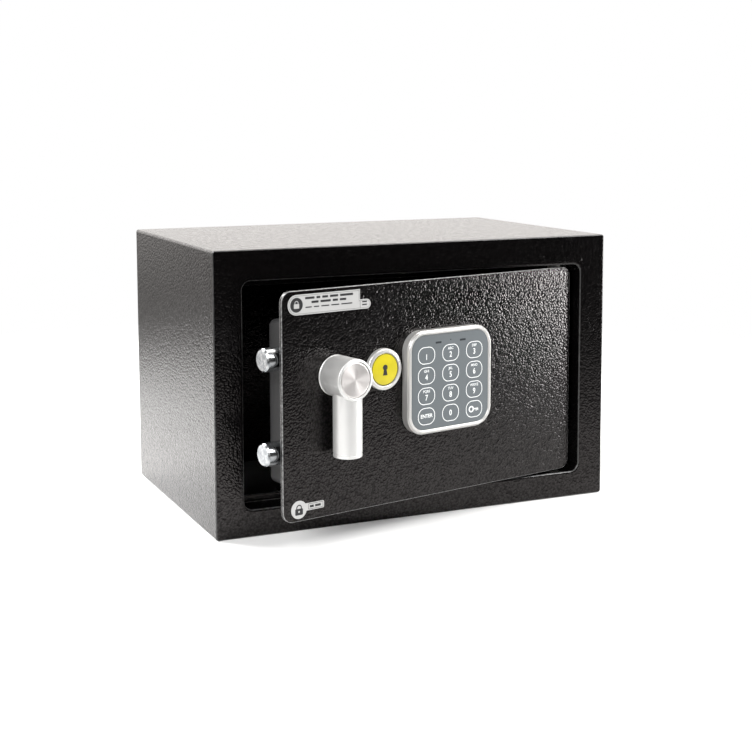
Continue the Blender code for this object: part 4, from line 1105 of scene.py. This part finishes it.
def make_lead():
    """The lead from the keypad's board through the door plate to the solenoid."""
    u0, z0 = KEYPAD_U, KEYPAD_Z
    route = [
        (u0, 0.2, z0),
        (u0, 3.6, z0),
        (u0 - 1.6, 7.4, z0 - 1.8),
        (u0 - 5.6, 10.0, z0 - 6.4),
        (u0 - 12.5, 10.8, z0 - 15.0),
        (u0 - 21.0, 10.8, z0 - 25.0),
        (u0 - 27.5, 11.2, z0 - 31.8),
        (SOLENOID_U + 10.2, 12.0, z0 - 36),
    ]
    knots = [Vector(p) * MM for p in route]
    knots = [knots[0] * 2 - knots[1], *knots, knots[-1] * 2 - knots[-2]]
    points = []
    for a, b, c, d in zip(knots, knots[1:], knots[2:], knots[3:]):
        for i in range(6):
            t = i / 6
            square, cube = 2 * a - 5 * b + 4 * c - d, 3 * b - a - 3 * c + d
            points.append((2 * b + (c - a) * t + square * t**2 + cube * t**3) / 2)
    points.append(knots[-2])
    lead = wire("solenoid_lead", [DOOR @ point for point in points], LEAD_R, 5)
    lead.data.materials.append(LEAD)
    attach(lead, "door")
    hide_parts("control_cable")


def dress_kept_nodes():
    """CAD nodes whose shape is right: softened edges and a finish each."""
    finishes = {
        "hinge_bracket_bottom": PRESSED,
        "hinge_bracket_top": PRESSED,
        "bolt_guide": PRESSED,
        "bolt_carriage": PRESSED,
        "spindle_crank": PLATED,
        "lock_cam": PRESSED,
        "solenoid_frame": PRESSED,
        "solenoid_coil": TAPE,
        "keypad_board": BOARD,
        "battery_holder": BLACK_PLASTIC,
    }
    for name, finish in finishes.items():
        node = frame["nodes"][name]
        node.data.materials.clear()
        node.data.materials.append(finish)
        node.data.shade_smooth()
        join = node.modifiers.new("join", "WELD")
        join.merge_threshold = 1e-6
        soften(node, 0.25, 2, 40)
        normals = node.modifiers.new("even_normals", "WEIGHTED_NORMAL")
        normals.keep_sharp = True


# ------------ stage


def make_floor():
    """Pale table that fades out towards its rim."""
    bm = bmesh.new()
    bmesh.ops.create_circle(bm, cap_ends=True, segments=96, radius=FLOOR_FADE[1] + 0.05)
    floor = from_bmesh("floor", bm, Matrix.Translation((*FLOOR_CENTRE, -0.0002)))
    f = Finish("pale_floor", (0.88, 0.88, 0.875), 0.9, Specular_IOR_Level=0.0)
    f.use("Roughness", f.span(f.noise(3.0), 0.3, 0.7, 0.85, 0.95))
    reach = f.tree.nodes.new("ShaderNodeVectorMath")
    reach.operation = "LENGTH"
    f.set(reach.inputs[0], f.coords)
    f.use("Alpha", f.span(reach.outputs["Value"], *FLOOR_FADE, 1.0, 0.0))
    floor.data.materials.append(f.material)


def soft_box(name, place, target, size, power):
    light = bpy.data.lights.new(name, "AREA")
    light.shape = "RECTANGLE"
    light.size, light.size_y = size
    light.energy = power
    obj = new_object(name, light)
    obj.location = place
    obj.rotation_euler = (Vector(target) - Vector(place)).to_track_quat("-Z", "Y").to_euler()
    return obj


def make_world():
    """White to the camera; to the object a bright wall behind, a darker room below it, and soft cards."""
    world = bpy.data.worlds.new("studio")
    bpy.context.scene.world = world
    world.use_nodes = True
    nodes = Nodes(world.node_tree)
    direction = nodes.node("ShaderNodeTexCoord").outputs["Generated"]

    def toward(axis, low, high):
        """0 to 1 as the direction's share along an axis goes from low to high."""
        dot = nodes.node("ShaderNodeVectorMath")
        dot.operation = "DOT_PRODUCT"
        nodes.set(dot.inputs[0], direction)
        nodes.set(dot.inputs[1], Vector(axis).normalized())
        rise = nodes.node("ShaderNodeMapRange", Value=dot.outputs["Value"], From_Min=low, From_Max=high)
        rise.interpolation_type = "SMOOTHSTEP"
        return rise.outputs["Result"]

    wall = nodes.math("MULTIPLY", toward((0, 1, 0), 0.0, 0.6), WALL)
    below = nodes.math("MULTIPLY_ADD", toward((0, 0, 1), -0.14, 0.06), 0.82, 0.18)
    light = nodes.math("MULTIPLY_ADD", wall, below, ROOM)
    for axis, inner, outer, strength in CARDS:
        card = toward(axis, math.cos(math.radians(outer)), math.cos(math.radians(inner)))
        light = nodes.math("MULTIPLY_ADD", card, strength, light)
    room = nodes.tree.nodes["Background"]
    nodes.set(room.inputs["Strength"], light)
    nodes.set(room.inputs["Color"], (1.0, 0.965, 0.935, 1))
    pale = nodes.node("ShaderNodeBackground", Color=(1, 1, 1, 1))
    path = nodes.node("ShaderNodeLightPath")
    mix = nodes.node("ShaderNodeMixShader", Fac=path.outputs["Is Camera Ray"])
    nodes.set(mix.inputs[1], room.outputs[0])
    nodes.set(mix.inputs[2], pale.outputs[0])
    nodes.set(nodes.tree.nodes["World Output"].inputs["Surface"], mix.outputs[0])


def make_light():
    make_world()
    for light in LIGHTS:
        soft_box(*light)


def make_camera():
    camera = bpy.data.cameras.new("camera")
    camera.lens = FOCAL_LENGTH
    camera.sensor_width = 36
    camera.shift_y = SHIFT_Y
    obj = new_object("camera", camera)
    obj.location = CAMERA_PLACE
    obj.rotation_euler = [math.radians(turn) for turn in CAMERA_TURN]
    bpy.context.scene.camera = obj
    bpy.context.scene.view_settings.view_transform = "Standard"


def main():
    make_camera()
    make_floor()
    make_light()
    make_cabinet_skin()
    make_back_panel()
    make_strike()
    make_floor_mat()
    make_door_skin()
    make_hinges()
    make_inner_cover()
    make_screws()
    make_bolts()
    make_handle()
    make_lock()
    make_keypad_housing()
    make_keypad_film()
    make_keys()
    make_notice()
    make_corner_mark()
    make_battery_lid()
    make_cells()
    make_reset_button()
    make_plunger()
    make_plunger_spring()
    make_lead()
    dress_kept_nodes()


main()
